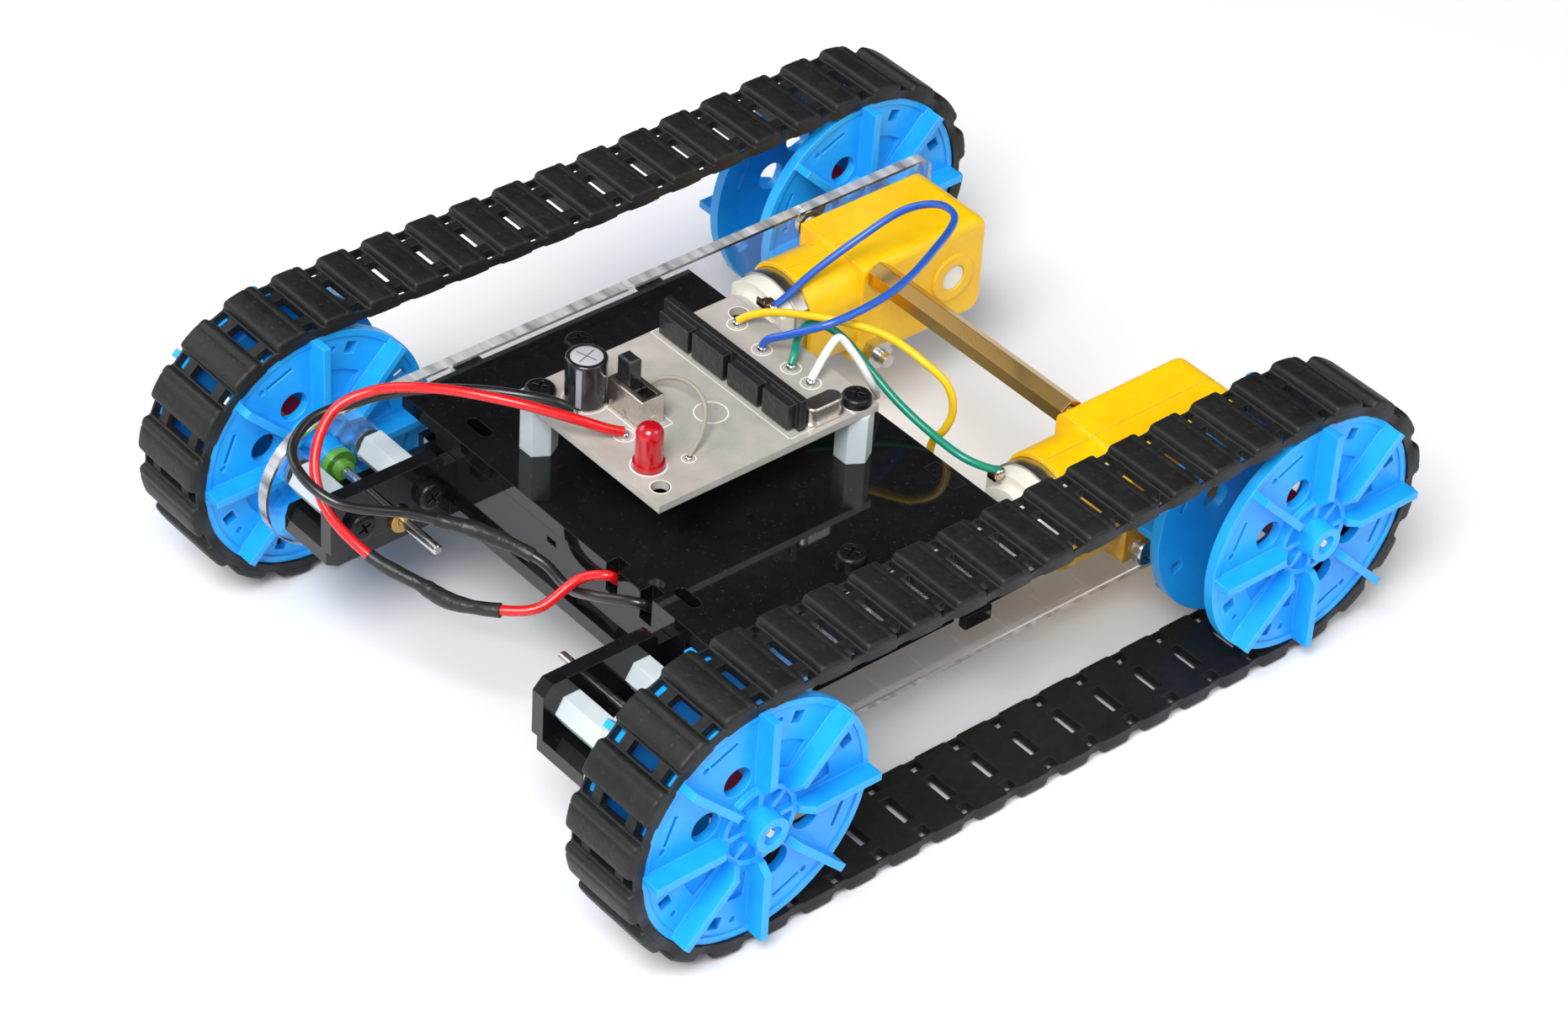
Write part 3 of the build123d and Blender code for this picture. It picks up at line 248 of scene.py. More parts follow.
SURFACES = {
    "black_acrylic": dict(
        base=(0.004, 0.004, 0.005), tone_spread=0.3, rough=0.05, rough_spread=0.03, specular=0.45,
        bump=0.02, bump_scale=160, edge=0.00015, wear=0.25, wear_color=(0.09, 0.09, 0.09),
        spots=SPECKS),
    "holder_black": dict(base=(0.018, 0.018, 0.02), rough=0.5, bump=0.35, bump_scale=2200),
    "cell_wrap": dict(base=(0.03, 0.1, 0.05), rough=0.3, coat=0.4),
    "contact_metal": dict(base=(0.68, 0.66, 0.6), rough=0.3, metal=1.0),
    "nylon": dict(
        base=(0.6, 0.67, 0.69), tone_spread=0.05, rough=0.42, subsurface=0.35,
        bump=0.12, bump_scale=900, wear=0.1),
    "black_screw": dict(
        base=(0.02, 0.02, 0.022), rough=0.32, metal=0.7, bump=0.25,
        edge=0.00012, wear=0.5, wear_color=(0.2, 0.2, 0.2)),
    "steel": dict(
        base=(0.6, 0.6, 0.58), tone_spread=0.2, rough=0.25, metal=1.0, bump=0.2,
        edge=0.00012, wear=0.3, wear_color=(0.85, 0.85, 0.83)),
    "brass": dict(
        base=(0.62, 0.37, 0.11), tone_spread=0.05, light_tone=(0.68, 0.43, 0.14), noise_scale=120,
        stretch=(0.1, 1, 1), rough=0.24, rough_spread=0.03, metal=1.0,
        bump=0.01, bump_scale=60, wear_color=(0.9, 0.72, 0.4)),
    "green_bush": dict(base=(0.16, 0.46, 0.06), rough=0.3, subsurface=0.2, coat=0.2),
    "wheel_blue": dict(
        base=(0.008, 0.37, 0.95), light_tone=(0.016, 0.44, 1.0), rough=0.34, rough_spread=0.1,
        subsurface=0.25, subsurface_radius=(0.1, 0.5, 1.0),
        bump=0.16, bump_scale=520, bump_depth=0.00012,
        edge=0.0003, wear=0.35, wear_color=(0.2, 0.62, 1.0)),
    "red_plastic": dict(
        base=(0.42, 0.006, 0.012), rough=0.3, coat=0.3, subsurface=0.1, wear=0.2),
    "belt_rubber": dict(
        base=(0.006, 0.006, 0.0065), light_tone=(0.014, 0.014, 0.014), rough=0.5,
        rough_spread=0.14, specular=0.35, bump=0.5, bump_scale=1100, bump_depth=0.00018,
        edge=0.0003, wear=0.5, wear_color=(0.04, 0.04, 0.04), spots=DUST),
    "gearbox_yellow": dict(
        base=(1.0, 0.54, 0.0), light_tone=(1.0, 0.62, 0.002), rough=0.34, rough_spread=0.1,
        subsurface=0.22, subsurface_radius=(1.0, 0.5, 0.1),
        bump=0.2, bump_scale=600, bump_depth=0.0001,
        edge=0.0004, wear=0.2, wear_color=(1.0, 0.78, 0.3)),
    "can_steel": dict(
        base=(0.5, 0.5, 0.48), tone_spread=0.2, stretch=(1, 0.1, 1), rough=0.3, metal=1.0,
        bump=0.2),
    "white_plastic": dict(base=(0.82, 0.8, 0.7), tone_spread=0.06, rough=0.4, subsurface=0.3),
    "gear_white": dict(base=(0.8, 0.8, 0.74), tone_spread=0.05, rough=0.38, subsurface=0.3),
    "rotor_core": dict(base=(0.12, 0.1, 0.09), tone_spread=0.2, rough=0.4, metal=0.8),
    "pcb": dict(
        base=(0.36, 0.38, 0.32), tone_spread=0.15, light_tone=(0.52, 0.46, 0.44), noise_scale=230,
        rough=0.3, rough_spread=0.08, coat=0.35, bump=0.12, bump_scale=900, wear=0.2),
    "cap_sleeve": dict(base=(0.008, 0.008, 0.01), rough=0.22, coat=0.5, bump=0.1, wear=0.2),
    "tin": dict(
        base=(0.62, 0.57, 0.52), tone_spread=0.15, rough=0.28, metal=1.0, bump=0.2, wear=0.3),
    "black_plastic": dict(
        base=(0.012, 0.012, 0.013), rough=0.3, bump=0.6, bump_scale=700, bump_depth=0.0003,
        edge=0.0004, wear=0.4, wear_color=(0.08, 0.08, 0.08)),
    "led_red": dict(
        PLAIN, base=(0.62, 0.0, 0.012), rough=0.16, rough_spread=0.05, transmission=0.3,
        subsurface=0.5, subsurface_radius=(1.0, 0.05, 0.03), coat=0.5, bump=0.05),
    "wire_red": dict(WIRE, base=(0.62, 0.004, 0.006), rough=0.28, coat=0.25),
    "wire_black": dict(WIRE, base=(0.01, 0.01, 0.01), rough=0.3, coat=0.25),
    "wire_blue": dict(WIRE, base=(0.016, 0.1, 0.5), rough=0.32, coat=0.2),
    "wire_white": dict(WIRE, base=(0.82, 0.82, 0.82), tone_spread=0.05, rough=0.35),
    "wire_yellow": dict(WIRE, base=(0.85, 0.52, 0.004), rough=0.32, coat=0.2),
    "wire_green": dict(WIRE, base=(0.0, 0.24, 0.15), rough=0.32, coat=0.2),
    "wire_grey": dict(WIRE, base=(0.34, 0.31, 0.25), rough=0.35),
    "shrink": dict(
        PLAIN, base=(0.012, 0.012, 0.012), rough=0.42, rough_spread=0.15,
        bump=0.8, bump_scale=420, bump_depth=0.0005),
    "solder": dict(
        base=(0.66, 0.65, 0.62), rough=0.22, metal=1.0, bump=0.4, bump_scale=800, edge=0),
    "silk": dict(PLAIN, base=(0.78, 0.78, 0.74), tone_spread=0.06, rough=0.5),
    # near-black colour for grooves, slots and small hollows: painted shade standing for the
    # darkness inside them
    "painted_recess_shade": dict(PLAIN, base=(0.006, 0.006, 0.006), rough=0.6),
    "cap_top": dict(PLAIN, base=(0.62, 0.63, 0.66), rough=0.45, metal=0.35, bump=0.1),
    "stripe": dict(PLAIN, base=(0.3, 0.31, 0.34), rough=0.4),
    "copper": dict(base=(0.7, 0.42, 0.24), rough=0.3, metal=1.0, edge=0),
}

materials = {"clear_acrylic": make_acrylic("clear_acrylic")}
for name, settings in SURFACES.items():
    materials[name] = make_surface(name, **settings)

slot_of = {part["node"]: part["material_slot"] for part in frame["record"]["subparts"]}
for node_name, cad_piece in frame["nodes"].items():
    cad_piece.data.materials.clear()
    cad_piece.data.materials.append(materials[slot_of[node_name]])


# ------------------------------------------------------------------ shape helpers
BOX_FACES = [(3, 2, 1, 0), (4, 5, 6, 7), (0, 1, 5, 4), (1, 2, 6, 5), (2, 3, 7, 6), (3, 0, 4, 7)]


def circle(centre, across, up, radius, segments):
    angles = [2 * math.pi * k / segments for k in range(segments)]
    return [centre + (across * math.cos(a) + up * math.sin(a)) * radius for a in angles]


class Shape:
    """Collects several closed shapes into one piece."""

    def __init__(self):
        self.verts, self.faces = [], []

    def add(self, verts, faces):
        start = len(self.verts)
        self.verts += [tuple(p) for p in verts]
        self.faces += [tuple(i + start for i in face) for face in faces]

    def loft(self, rings):
        """Skin the rings in order and cap both ends."""
        n = len(rings[0])
        faces = []
        for i in range(len(rings) - 1):
            for j in range(n):
                a, b = i * n + j, i * n + (j + 1) % n
                faces.append((a, b, b + n, a + n))
        faces.append(tuple(reversed(range(n))))
        faces.append(tuple(range((len(rings) - 1) * n, len(rings) * n)))
        self.add([p for ring in rings for p in ring], faces)

    def box(self, low, high):
        x0, y0, z0 = low
        x1, y1, z1 = high
        outline = [(x0, y0), (x1, y0), (x1, y1), (x0, y1)]
        self.add([(x, y, z) for z in (z0, z1) for x, y in outline], BOX_FACES)

    def chamfered_box(self, low, high, cut):
        """Box with its upright and top edges cut off."""
        def ring(z, inset):
            x0, x1 = low[0] + inset, high[0] - inset
            y0, y1 = low[1] + inset, high[1] - inset
            return [(x0 + cut, y0, z), (x1 - cut, y0, z), (x1, y0 + cut, z), (x1, y1 - cut, z),
                    (x1 - cut, y1, z), (x0 + cut, y1, z), (x0, y1 - cut, z), (x0, y0 + cut, z)]
        self.loft([ring(low[2], 0), ring(high[2] - cut, 0), ring(high[2], cut * 0.7)])

    def lathe(self, centre, axis, profile, segments):
        """Turn a profile of (radius, distance along the axis)."""
        centre = Vector(centre)
        axis = Vector(axis).normalized()
        across = axis.orthogonal().normalized()
        up = axis.cross(across)
        self.loft([circle(centre + axis * along, across, up, max(radius, 0.004), segments)
                   for radius, along in profile])

    def flat_ring(self, x, y, z, inner, outer, height, segments=36):
        """Raised ring lying on a horizontal face."""
        section = ((inner, 0), (outer, 0), (outer, height), (inner, height))
        verts, faces = [], []
        for k in range(segments):
            angle = 2 * math.pi * k / segments
            verts += [(x + r * math.cos(angle), y + r * math.sin(angle), z + h)
                      for r, h in section]
            a, b = k * 4, (k + 1) % segments * 4
            for j in range(4):
                i = (j + 1) % 4
                faces.append((a + j, a + i, b + i, b + j))
        self.add(verts, faces)

    def line(self, points, width, z, height=0.03):
        """Thin printed line through (x, y) points, with square ends."""
        for (xa, ya), (xb, yb) in zip(points, points[1:]):
            along = Vector((xb - xa, yb - ya, 0)).normalized()
            side = Vector((-along.y, along.x, 0)) * width / 2
            end = along * width / 2
            a, b = Vector((xa, ya, z)), Vector((xb, yb, z))
            lower = [a - end - side, b + end - side, b + end + side, a - end + side]
            self.add(lower + [p + Vector((0, 0, height)) for p in lower], BOX_FACES)

    def tube(self, points, radius_at, segments):
        """Tube without twist; radius_at gives the radius at 0..1 of its length."""
        last = len(points) - 1
        tangents = [(points[min(i + 1, last)] - points[max(i - 1, 0)]).normalized()
                    for i in range(last + 1)]
        across = tangents[0].orthogonal().normalized()
        rings = []
        for i, (point, tangent) in enumerate(zip(points, tangents)):
            if i:
                across = tangents[i - 1].rotation_difference(tangent) @ across
                across = (across - tangent * across.dot(tangent)).normalized()
            up = tangent.cross(across)
            rings.append(circle(point, across, up, radius_at(i / last), segments))
        self.loft(rings)

    def solder_mound(self, x, y, z, radius, height, seed):
        """Flattened, slightly uneven dome."""
        segments, rows = 16, 7
        phase = random.Random(seed).random() * 6
        angles = [2 * math.pi * k / segments for k in range(segments)]
        rings = []
        for i in range(rows):
            t = i / (rows - 1)
            r = radius * math.cos(t * math.pi / 2 * 0.97) ** 0.8 + 0.02
            top = z + height * math.sin(t * math.pi / 2)
            rings.append([(x + r * (1 + 0.07 * math.sin(3 * a + phase)) * math.cos(a),
                           y + r * (1 + 0.07 * math.cos(2 * a + phase)) * math.sin(a), top)
                          for a in angles])
        self.loft(rings)


def make_piece(name, shape, material, smooth=True, sharp_angle=None, replaces=None):
    mesh = bpy.data.meshes.new(name)
    mesh.from_pydata([tuple(c * MM for c in v) for v in shape.verts], [], shape.faces)
    mesh.validate()
    bm = bmesh.new()
    bm.from_mesh(mesh)
    bmesh.ops.recalc_face_normals(bm, faces=bm.faces)
    bm.to_mesh(mesh)
    bm.free()
    if smooth:
        mesh.shade_smooth()
        if sharp_angle:
            mesh.set_sharp_from_angle(angle=math.radians(sharp_angle))
    piece = bpy.data.objects.new(name, mesh)
    scene.collection.objects.link(piece)
    mesh.materials.append(materials[material])
    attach(piece, "chassis")
    if replaces:
        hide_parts(replaces)
    return piece


def add_bevel(piece, width, angle=35):
    bevel = piece.modifiers.new("bevel", "BEVEL")
    bevel.width = width * MM
    bevel.segments = 2
    bevel.limit_method = "ANGLE"
    bevel.angle_limit = math.radians(angle)
    bevel.harden_normals = True


def smooth_curve(points, steps):
    """Centripetal Catmull-Rom curve through the points."""
    def between(p, q, start, end, t):
        return p * ((end - t) / (end - start)) + q * ((t - start) / (end - start))

    points = [Vector(p) for p in points]
    points = [points[0] * 2 - points[1]] + points + [points[-1] * 2 - points[-2]]
    curve = []
    for p0, p1, p2, p3 in zip(points, points[1:], points[2:], points[3:]):
        t0 = 0.0
        t1 = t0 + max((p1 - p0).length, 1e-4) ** 0.5
        t2 = t1 + max((p2 - p1).length, 1e-4) ** 0.5
        t3 = t2 + max((p3 - p2).length, 1e-4) ** 0.5
        for k in range(steps):
            t = t1 + (t2 - t1) * k / steps
            a1 = between(p0, p1, t0, t1, t)
            a2 = between(p1, p2, t1, t2, t)
            a3 = between(p2, p3, t2, t3, t)
            b1 = between(a1, a2, t0, t2, t)
            b2 = between(a2, a3, t1, t3, t)
            curve.append(between(b1, b2, t1, t2, t))
    curve.append(points[-2])
    return curve


# ------------------------------------------------------------------ belts
BELT_SAG = 0.9          # dip of the upper run
LINK_RIPPLE = 0.12      # extra dip within each link of the upper run
WEB_X = [54.25, 54.7, 57.0, 59.2, 62.5, 65.8, 68.0, 70.3, 70.75]
# stations along each link: the two ends of the hole row, then the pad's edges and middle
WEB_STATIONS = [-1.25, 1.25, PITCH / 2 - 3.2, PITCH / 2, PITCH / 2 + 3.2]
HOLE_COLUMNS = (1, 3, 4, 6)
PAD_STATIONS = (2, 3, 4)
PAD_SWELL = 0.3         # how far the web's side edges bulge beside a pad

# pad section: (along the belt, height over the web), with a groove along the top
PAD_SECTION = [
    (-3.4, -0.15), (-3.3, 0.5), (-3.12, 1.05), (-2.85, 1.38), (-2.45, 1.53), (-1.6, 1.58),
    (0.0, 1.59), (1.1, 1.57), (1.35, 1.42), (1.65, 1.42), (1.9, 1.55), (2.45, 1.5),
    (2.85, 1.36), (3.12, 1.05), (3.3, 0.5), (3.4, -0.15)]
# pad stations across the belt: (x, height factor, width factor)
PAD_ENDS = [
    (53.92, 0.45, 0.86), (54.0, 0.7, 0.92), (54.25, 0.88, 0.97), (54.7, 0.96, 1),
    (56.2, 1, 1), (58.0, 1, 1), (60.0, 1, 1), (62.5, 1, 1), (65.0, 1, 1), (67.0, 1, 1),
    (68.8, 1, 1),
    (70.3, 0.96, 1), (70.75, 0.88, 0.97), (71.0, 0.7, 0.92), (71.08, 0.45, 0.86)]
SQUARE_X = (58.6, 66.4)                     # moulded squares on each pad
SQUARE_OFFSETS = (-0.7, 0.9)
SQUARE_HALF_LENGTH, SQUARE_HALF_WIDTH = 0.28, 0.32
SQUARE_CORNERS = ((-1, -1), (1, -1), (1, 1), (-1, 1))
SQUARE_LEVELS = ((1.4, 1), (1.6, 0.8))      # (height over the web, scale)


def wrap(along, x, offset):
    """Place a belt point: distance round the loop, x, and distance from the axle line."""
    along = along % BELT_LENGTH
    half_turn = math.pi * NEUTRAL_RADIUS
    if along <= WHEELBASE:
        bow = math.sin(math.pi * along / WHEELBASE)
        ripple = 1 - math.cos(2 * math.pi * along / PITCH)
        sag = -BELT_SAG * bow ** 2 - LINK_RIPPLE * ripple * bow
        return (x, LOW_AXLE_Y + along, AXLE_Z + offset + sag)
    along -= WHEELBASE
    if along <= half_turn:
        angle = along / NEUTRAL_RADIUS
        return (x, HIGH_AXLE_Y + offset * math.sin(angle), AXLE_Z + offset * math.cos(angle))
    along -= half_turn
    if along <= WHEELBASE:
        return (x, HIGH_AXLE_Y - along, AXLE_Z - offset)
    angle = (along - WHEELBASE) / NEUTRAL_RADIUS
    return (x, LOW_AXLE_Y - offset * math.sin(angle), AXLE_Z - offset * math.cos(angle))


def add_web(shape, sign):
    """Closed band with rows of holes between the pads."""
    stations = [k * PITCH + s for k in range(LINKS) for s in WEB_STATIONS]
    rows, columns = len(stations), len(WEB_X) - 1
    index = {}

    def is_hole(i, j):
        return i % len(WEB_STATIONS) == 0 and j in HOLE_COLUMNS

    def vert(i, j, offset):
        i %= rows
        key = (i, j, offset)
        if key not in index:
            x = WEB_X[j]
            if i % len(WEB_STATIONS) in PAD_STATIONS:
                x += {0: -PAD_SWELL, columns: PAD_SWELL}.get(j, 0.0)
            index[key] = len(shape.verts)
            shape.verts.append(wrap(stations[i], sign * x, offset))
        return index[key]

    for i in range(rows):
        for j in range(columns):
            if is_hole(i, j):
                continue
            corners = ((i, j), (i + 1, j), (i + 1, j + 1), (i, j + 1))
            a0, a1, a2, a3 = [vert(*corner, WEB_INNER) for corner in corners]
            b0, b1, b2, b3 = [vert(*corner, WEB_OUTER) for corner in corners]
            shape.faces += [(a0, a1, a2, a3), (b3, b2, b1, b0)]
            if j == 0 or is_hole(i, j - 1):
                shape.faces.append((a0, b0, b1, a1))
            if j == columns - 1 or is_hole(i, j + 1):
                shape.faces.append((a3, a2, b2, b3))
            if is_hole((i - 1) % rows, j):
                shape.faces.append((a0, a3, b3, b0))
            if is_hole((i + 1) % rows, j):
                shape.faces.append((a1, b1, b2, a2))


def add_pad(shape, sign, middle, lean):
    """Rounded bar across the belt with small moulded squares on its face."""
    shape.loft([
        [wrap(middle + along * width, sign * x,
              WEB_OUTER + height * (end_height if height > 0 else 1) * (1 + lean * along / 10))
         for along, height in PAD_SECTION]
        for x, end_height, width in PAD_ENDS])
    for x in SQUARE_X:
        for offset in SQUARE_OFFSETS:
            shape.loft([
                [wrap(middle + offset + a * SQUARE_HALF_LENGTH * scale,
                      sign * (x + c * SQUARE_HALF_WIDTH * scale), WEB_OUTER + height)
                 for a, c in SQUARE_CORNERS]
                for height, scale in SQUARE_LEVELS])


def make_belt(side, sign, seed):
    shape = Shape()
    add_web(shape, sign)
    rng = random.Random(seed)
    for k in range(LINKS):
        add_pad(shape, sign, middle=(k + 0.5) * PITCH, lean=rng.uniform(-0.05, 0.05))
    belt = make_piece("belt_" + side, shape, "belt_rubber", sharp_angle=38,
                      replaces="track_belt_" + side)
    add_bevel(belt, 0.2, angle=40)


# ------------------------------------------------------------------ cables
CURVE_STEPS = 12
# name: (radius, material, points with z measured from the axle line)
CABLES = {
    "antenna_wire": (0.4, "wire_grey", [
        (-9.2, -26.4, 23.95), (-7.6, -23.6, 26.0), (-2.3, -22.0, 27.8), (4.4, -23.4, 27.6),
        (8.8, -27.6, 25.8), (10.8, -32.0, 23.95)]),
    "battery_lead_red": (0.95, "wire_red", [
        (15.4, -49.0, 7.6), (15.4, -50.6, 8.4), (15.3, -52.6, 10.3), (11.4, -55.6, 8.6),
        (9.1, -62.9, 4.0), (4.8, -67.8, 3.0), (-3.3, -72.6, 2.0), (-9.0, -74.3, 2.5),
        (-18.4, -79.0, 5.5), (-27.1, -82.0, 12.0), (-33.0, -79.9, 18.0), (-35.3, -74.1, 24.5),
        (-32.6, -67.7, 27.5), (-24.1, -61.5, 30.5), (-13.6, -53.8, 31.0), (-5.2, -45.2, 28.4),
        (-1.6, -39.6, 25.6), (-0.8, -37.4, 24.7)]),
    "battery_lead_black": (0.95, "wire_black", [
        (24.8, -49.0, 7.6), (24.8, -50.6, 8.4), (24.2, -52.8, 10.2), (16.1, -56.1, 8.0),
        (7.6, -55.4, 4.0), (0.4, -55.6, 5.2), (-8.8, -62.2, 9.0), (-13.5, -67.0, 10.5),
        (-17.2, -71.6, 12.0), (-23.0, -81.9, 15.2), (-29.9, -84.3, 17.4), (-36.3, -82.4, 19.0),
        (-39.1, -76.5, 21.0), (-36.7, -69.0, 23.0), (-30.9, -60.7, 25.5), (-23.3, -53.7, 27.2),
        (-16.7, -48.1, 27.7), (-12.2, -43.0, 26.4), (-10.8, -40.9, 24.7)]),
    "motor_lead_blue": (0.75, "wire_blue", [
        (-6.2, -1.5, 24.4), (-5.2, -1.2, 26.2), (-1.7, 0.7, 28.6), (4.0, 6.2, 32.4),
        (3.8, 19.2, 33.0), (-3.6, 36.4, 31.0), (-11.7, 48.9, 29.0), (-18.4, 51.0, 27.0),
        (-25.0, 48.8, 23.0), (-29.0, 40.7, 17.0), (-30.7, 31.1, 12.0), (-30.5, 26.0, 9.8),
        (-30.4, 22.5, 8.7)]),
    "motor_lead_white": (0.75, "wire_white", [
        (6.6, -0.8, 24.4), (6.4, 0.6, 26.0), (5.7, 3.5, 28.4), (5.0, 6.6, 29.4),
        (6.6, 8.6, 26.5), (9.2, 11.6, 19.5), (4.0, 17.5, 11.0), (-10.0, 20.0, 2.0),
        (-22.0, 21.6, -2.6), (-28.05, 22.2, -3.5)]),
    "motor_lead_yellow": (0.75, "wire_yellow", [
        (-14.7, -0.2, 24.4), (-13.4, 1.4, 25.6), (-10.6, 3.7, 27.0), (-3.8, 6.8, 29.0),
        (2.5, 10.5, 29.6), (9.3, 13.8, 29.5), (17.5, 16.0, 27.5), (21.8, 18.1, 24.0),
        (23.0, 18.8, 19.0), (22.1, 18.2, 14.5), (19.6, 18.0, 10.5), (18.6, 18.6, 5.5),
        (22.0, 20.4, -0.5), (28.05, 22.2, -3.5)]),
    "motor_lead_green": (0.75, "wire_green", [
        (1.1, -0.8, 24.4), (0.4, 0.4, 25.6), (-2.3, 3.5, 26.4), (-4.4, 7.8, 26.2),
        (-2.7, 10.6, 25.6), (0.8, 12.2, 24.0), (6.1, 13.4, 20.5), (12.9, 14.6, 16.6),
        (20.2, 16.0, 13.8), (28.1, 17.6, 12.0), (31.6, 20.4, 10.6), (32.4, 22.5, 9.7)]),
}
# (lead colour, first and last curve point covered, phase of the wrinkles)
SLEEVES = (("red", 60, 96, 1.0), ("black", 62, 86, 2.3))


def make_cable(name, radius, material, points):
    curve = smooth_curve([(x, y, z + AXLE_Z) for x, y, z in points], CURVE_STEPS)
    highest = CAD_HIGH.z / MM - radius      # no cable rises above the CAD pieces
    curve = [Vector((p.x, p.y, min(p.z, highest))) for p in curve]
    shape = Shape()
    shape.tube(curve, lambda t: radius, 16)
    make_piece(name.replace("_wire", "_lead") + "_soft", shape, material, sharp_angle=60,
               replaces=name)
    return curve


def make_sleeve(color, curve, phase):
    """Shrink sleeve that swells over the joint inside it."""
    def radius_at(t):
        swell = 0.34 * math.exp(-((t - 0.42) / 0.16) ** 2)
        bump = 0.12 * math.exp(-((t - 0.62) / 0.05) ** 2)
        wrinkles = 0.05 * math.sin(23 * t + phase) + 0.03 * math.sin(51 * t + phase * 2)
        return 1.28 + swell + bump + wrinkles
    shape = Shape()
    shape.tube(curve, radius_at, 20)
    make_piece("shrink_sleeve_" + color, shape, "shrink", sharp_angle=60)


# ------------------------------------------------------------------ board
LEAD_JOINTS = [(-14.7, -0.2), (-6.2, -1.5), (1.1, -0.8), (6.6, -0.8), (-0.8, -37.0),
               (-10.8, -40.7)]
ANTENNA_JOINTS = [(-9.2, -26.4), (10.8, -32.0)]
MOUNT_HOLES = [(14.2, -41.0), (-17.2, 2.2)]
CAPACITOR = (-13.0, -36.1)
CAPACITOR_TOP_Z = BOARD_Z + 9.3
SWITCH_X, SWITCH_Y = -4.9, -31.4
SWITCH_LEG_SPACING = 4.1
LAMP_Y = -38.8

# printed rings: (x, y, inner radius, outer radius, segments)
PRINTED_RINGS = [
    *[(x, y, 1.75, 1.98, 36) for x, y in LEAD_JOINTS],
    *[(x, y, 1.75, 1.95, 36) for x, y in MOUNT_HOLES],
    (2.9, -20.6, 2.95, 3.2, 36),
    (8.2, LAMP_Y, 3.15, 3.4, 36),
    (10.8, -32.0, 1.2, 1.38, 36),
    (*CAPACITOR, 4.15, 4.38, 48)]
# printed lines: (width, points)
PRINTED_LINES = [
    (0.2, [(-11.0, -27.9), (1.4, -27.9), (1.4, -34.6), (-11.0, -34.6), (-11.0, -27.9)]),
    (0.2, [(11.4, -0.3), (18.0, -0.3)]),
    (0.2, [(11.9, -10.6), (11.9, -0.6), (17.9, -0.6)]),
    (0.2, [(5.6, -35.6), (7.2, -34.8)]),
    (0.16, [(-22.0, -14.0), (-22.0, -8.6), (17.0, -8.6), (17.0, -14.3), (-22.0, -14.3)])]
# parts under the board: (x, y, size in x, size in y, height)
UNDERSIDE_CHIPS = [
    (-6, -20, 5.0, 6.2, 1.5), (6, -26, 3.9, 4.9, 1.4), (3, -8, 1.6, 0.8, 0.6),
    (-12, -10, 1.6, 0.8, 0.6), (10, -16, 0.8, 1.6, 0.6), (-14, -28, 0.8, 1.6, 0.6)]


def make_board_solder():
    shape = Shape()
    for i, (x, y) in enumerate(LEAD_JOINTS + ANTENNA_JOINTS):
        radius, height = (1.05, 1.0) if i < len(LEAD_JOINTS) else (0.75, 0.6)
        shape.solder_mound(x, y, BOARD_Z, radius, height, seed=i)
    make_piece("board_solder", shape, "solder", sharp_angle=60)


def make_board_print():
    shape = Shape()
    for x, y, inner, outer, segments in PRINTED_RINGS:
        shape.flat_ring(x, y, PRINT_Z, inner, outer, 0.03, segments)
    for width, points in PRINTED_LINES:
        shape.line(points, width, PRINT_Z)
    make_piece("board_legend_lines", shape, "silk", smooth=False)


def make_hole_lands():
    """Copper land round each free mounting hole."""
    shape = Shape()
    for x, y in MOUNT_HOLES:
        shape.flat_ring(x, y, BOARD_Z + 0.001, inner=1.6, outer=1.72, height=0.02)
    make_piece("board_hole_lands", shape, "copper", smooth=False)


def make_underside_chips():
    shape = Shape()
    z = BOARD_UNDERSIDE_Z
    for x, y, width, length, height in UNDERSIDE_CHIPS:
        shape.box((x - width / 2, y - length / 2, z - height),
                  (x + width / 2, y + length / 2, z - 0.02))
    add_bevel(make_piece("board_underside_chips", shape, "black_plastic", smooth=False), 0.12)


def make_capacitor_top():
    """Bare metal disc, and the vent cross pressed into it drawn as near-black lines of painted
    shade.
    """
    shape = Shape()
    shape.lathe((*CAPACITOR, CAPACITOR_TOP_Z), (0, 0, 1),
                [(2.95, 0.0), (2.95, 0.14), (2.8, 0.2), (0.0, 0.2)], 36)
    make_piece("capacitor_top", shape, "cap_top", sharp_angle=40)
    # vent cross as thin near-black strips on the disc: painted shade in the pressed grooves
    shape = Shape()
    x, y = CAPACITOR
    for angle in (0.3, 0.3 + math.pi / 2):
        dx, dy = 2.1 * math.cos(angle), 2.1 * math.sin(angle)
        shape.line([(x - dx, y - dy), (x + dx, y + dy)], 0.16, CAPACITOR_TOP_Z + 0.205, 0.02)
    make_piece("capacitor_vent", shape, "painted_recess_shade", smooth=False)


def make_capacitor_stripe():
    """Curved strip up the side of the sleeve."""
    sleeve_radius = 3.83
    start, end, steps = math.radians(-66), math.radians(-50), 8
    verts, faces = [], []
    for i in range(steps + 1):
        angle = start + (end - start) * i / steps
        for radius in (sleeve_radius - 0.05, sleeve_radius + 0.02):
            for z in (0.7, 8.9):
                verts.append((CAPACITOR[0] + radius * math.cos(angle),
                              CAPACITOR[1] + radius * math.sin(angle), BOARD_Z + z))
    for a in range(0, steps * 4, 4):
        b = a + 4
        faces += [(a + 2, b + 2, b + 3, a + 3), (a, a + 1, b + 1, b),
                  (a + 1, a + 3, b + 3, b + 1), (a, b, b + 2, a + 2)]
    k = steps * 4
    faces += [(0, 2, 3, 1), (k, k + 1, k + 3, k + 2)]
    shape = Shape()
    shape.add(verts, faces)
    make_piece("capacitor_stripe", shape, "stripe", sharp_angle=40)


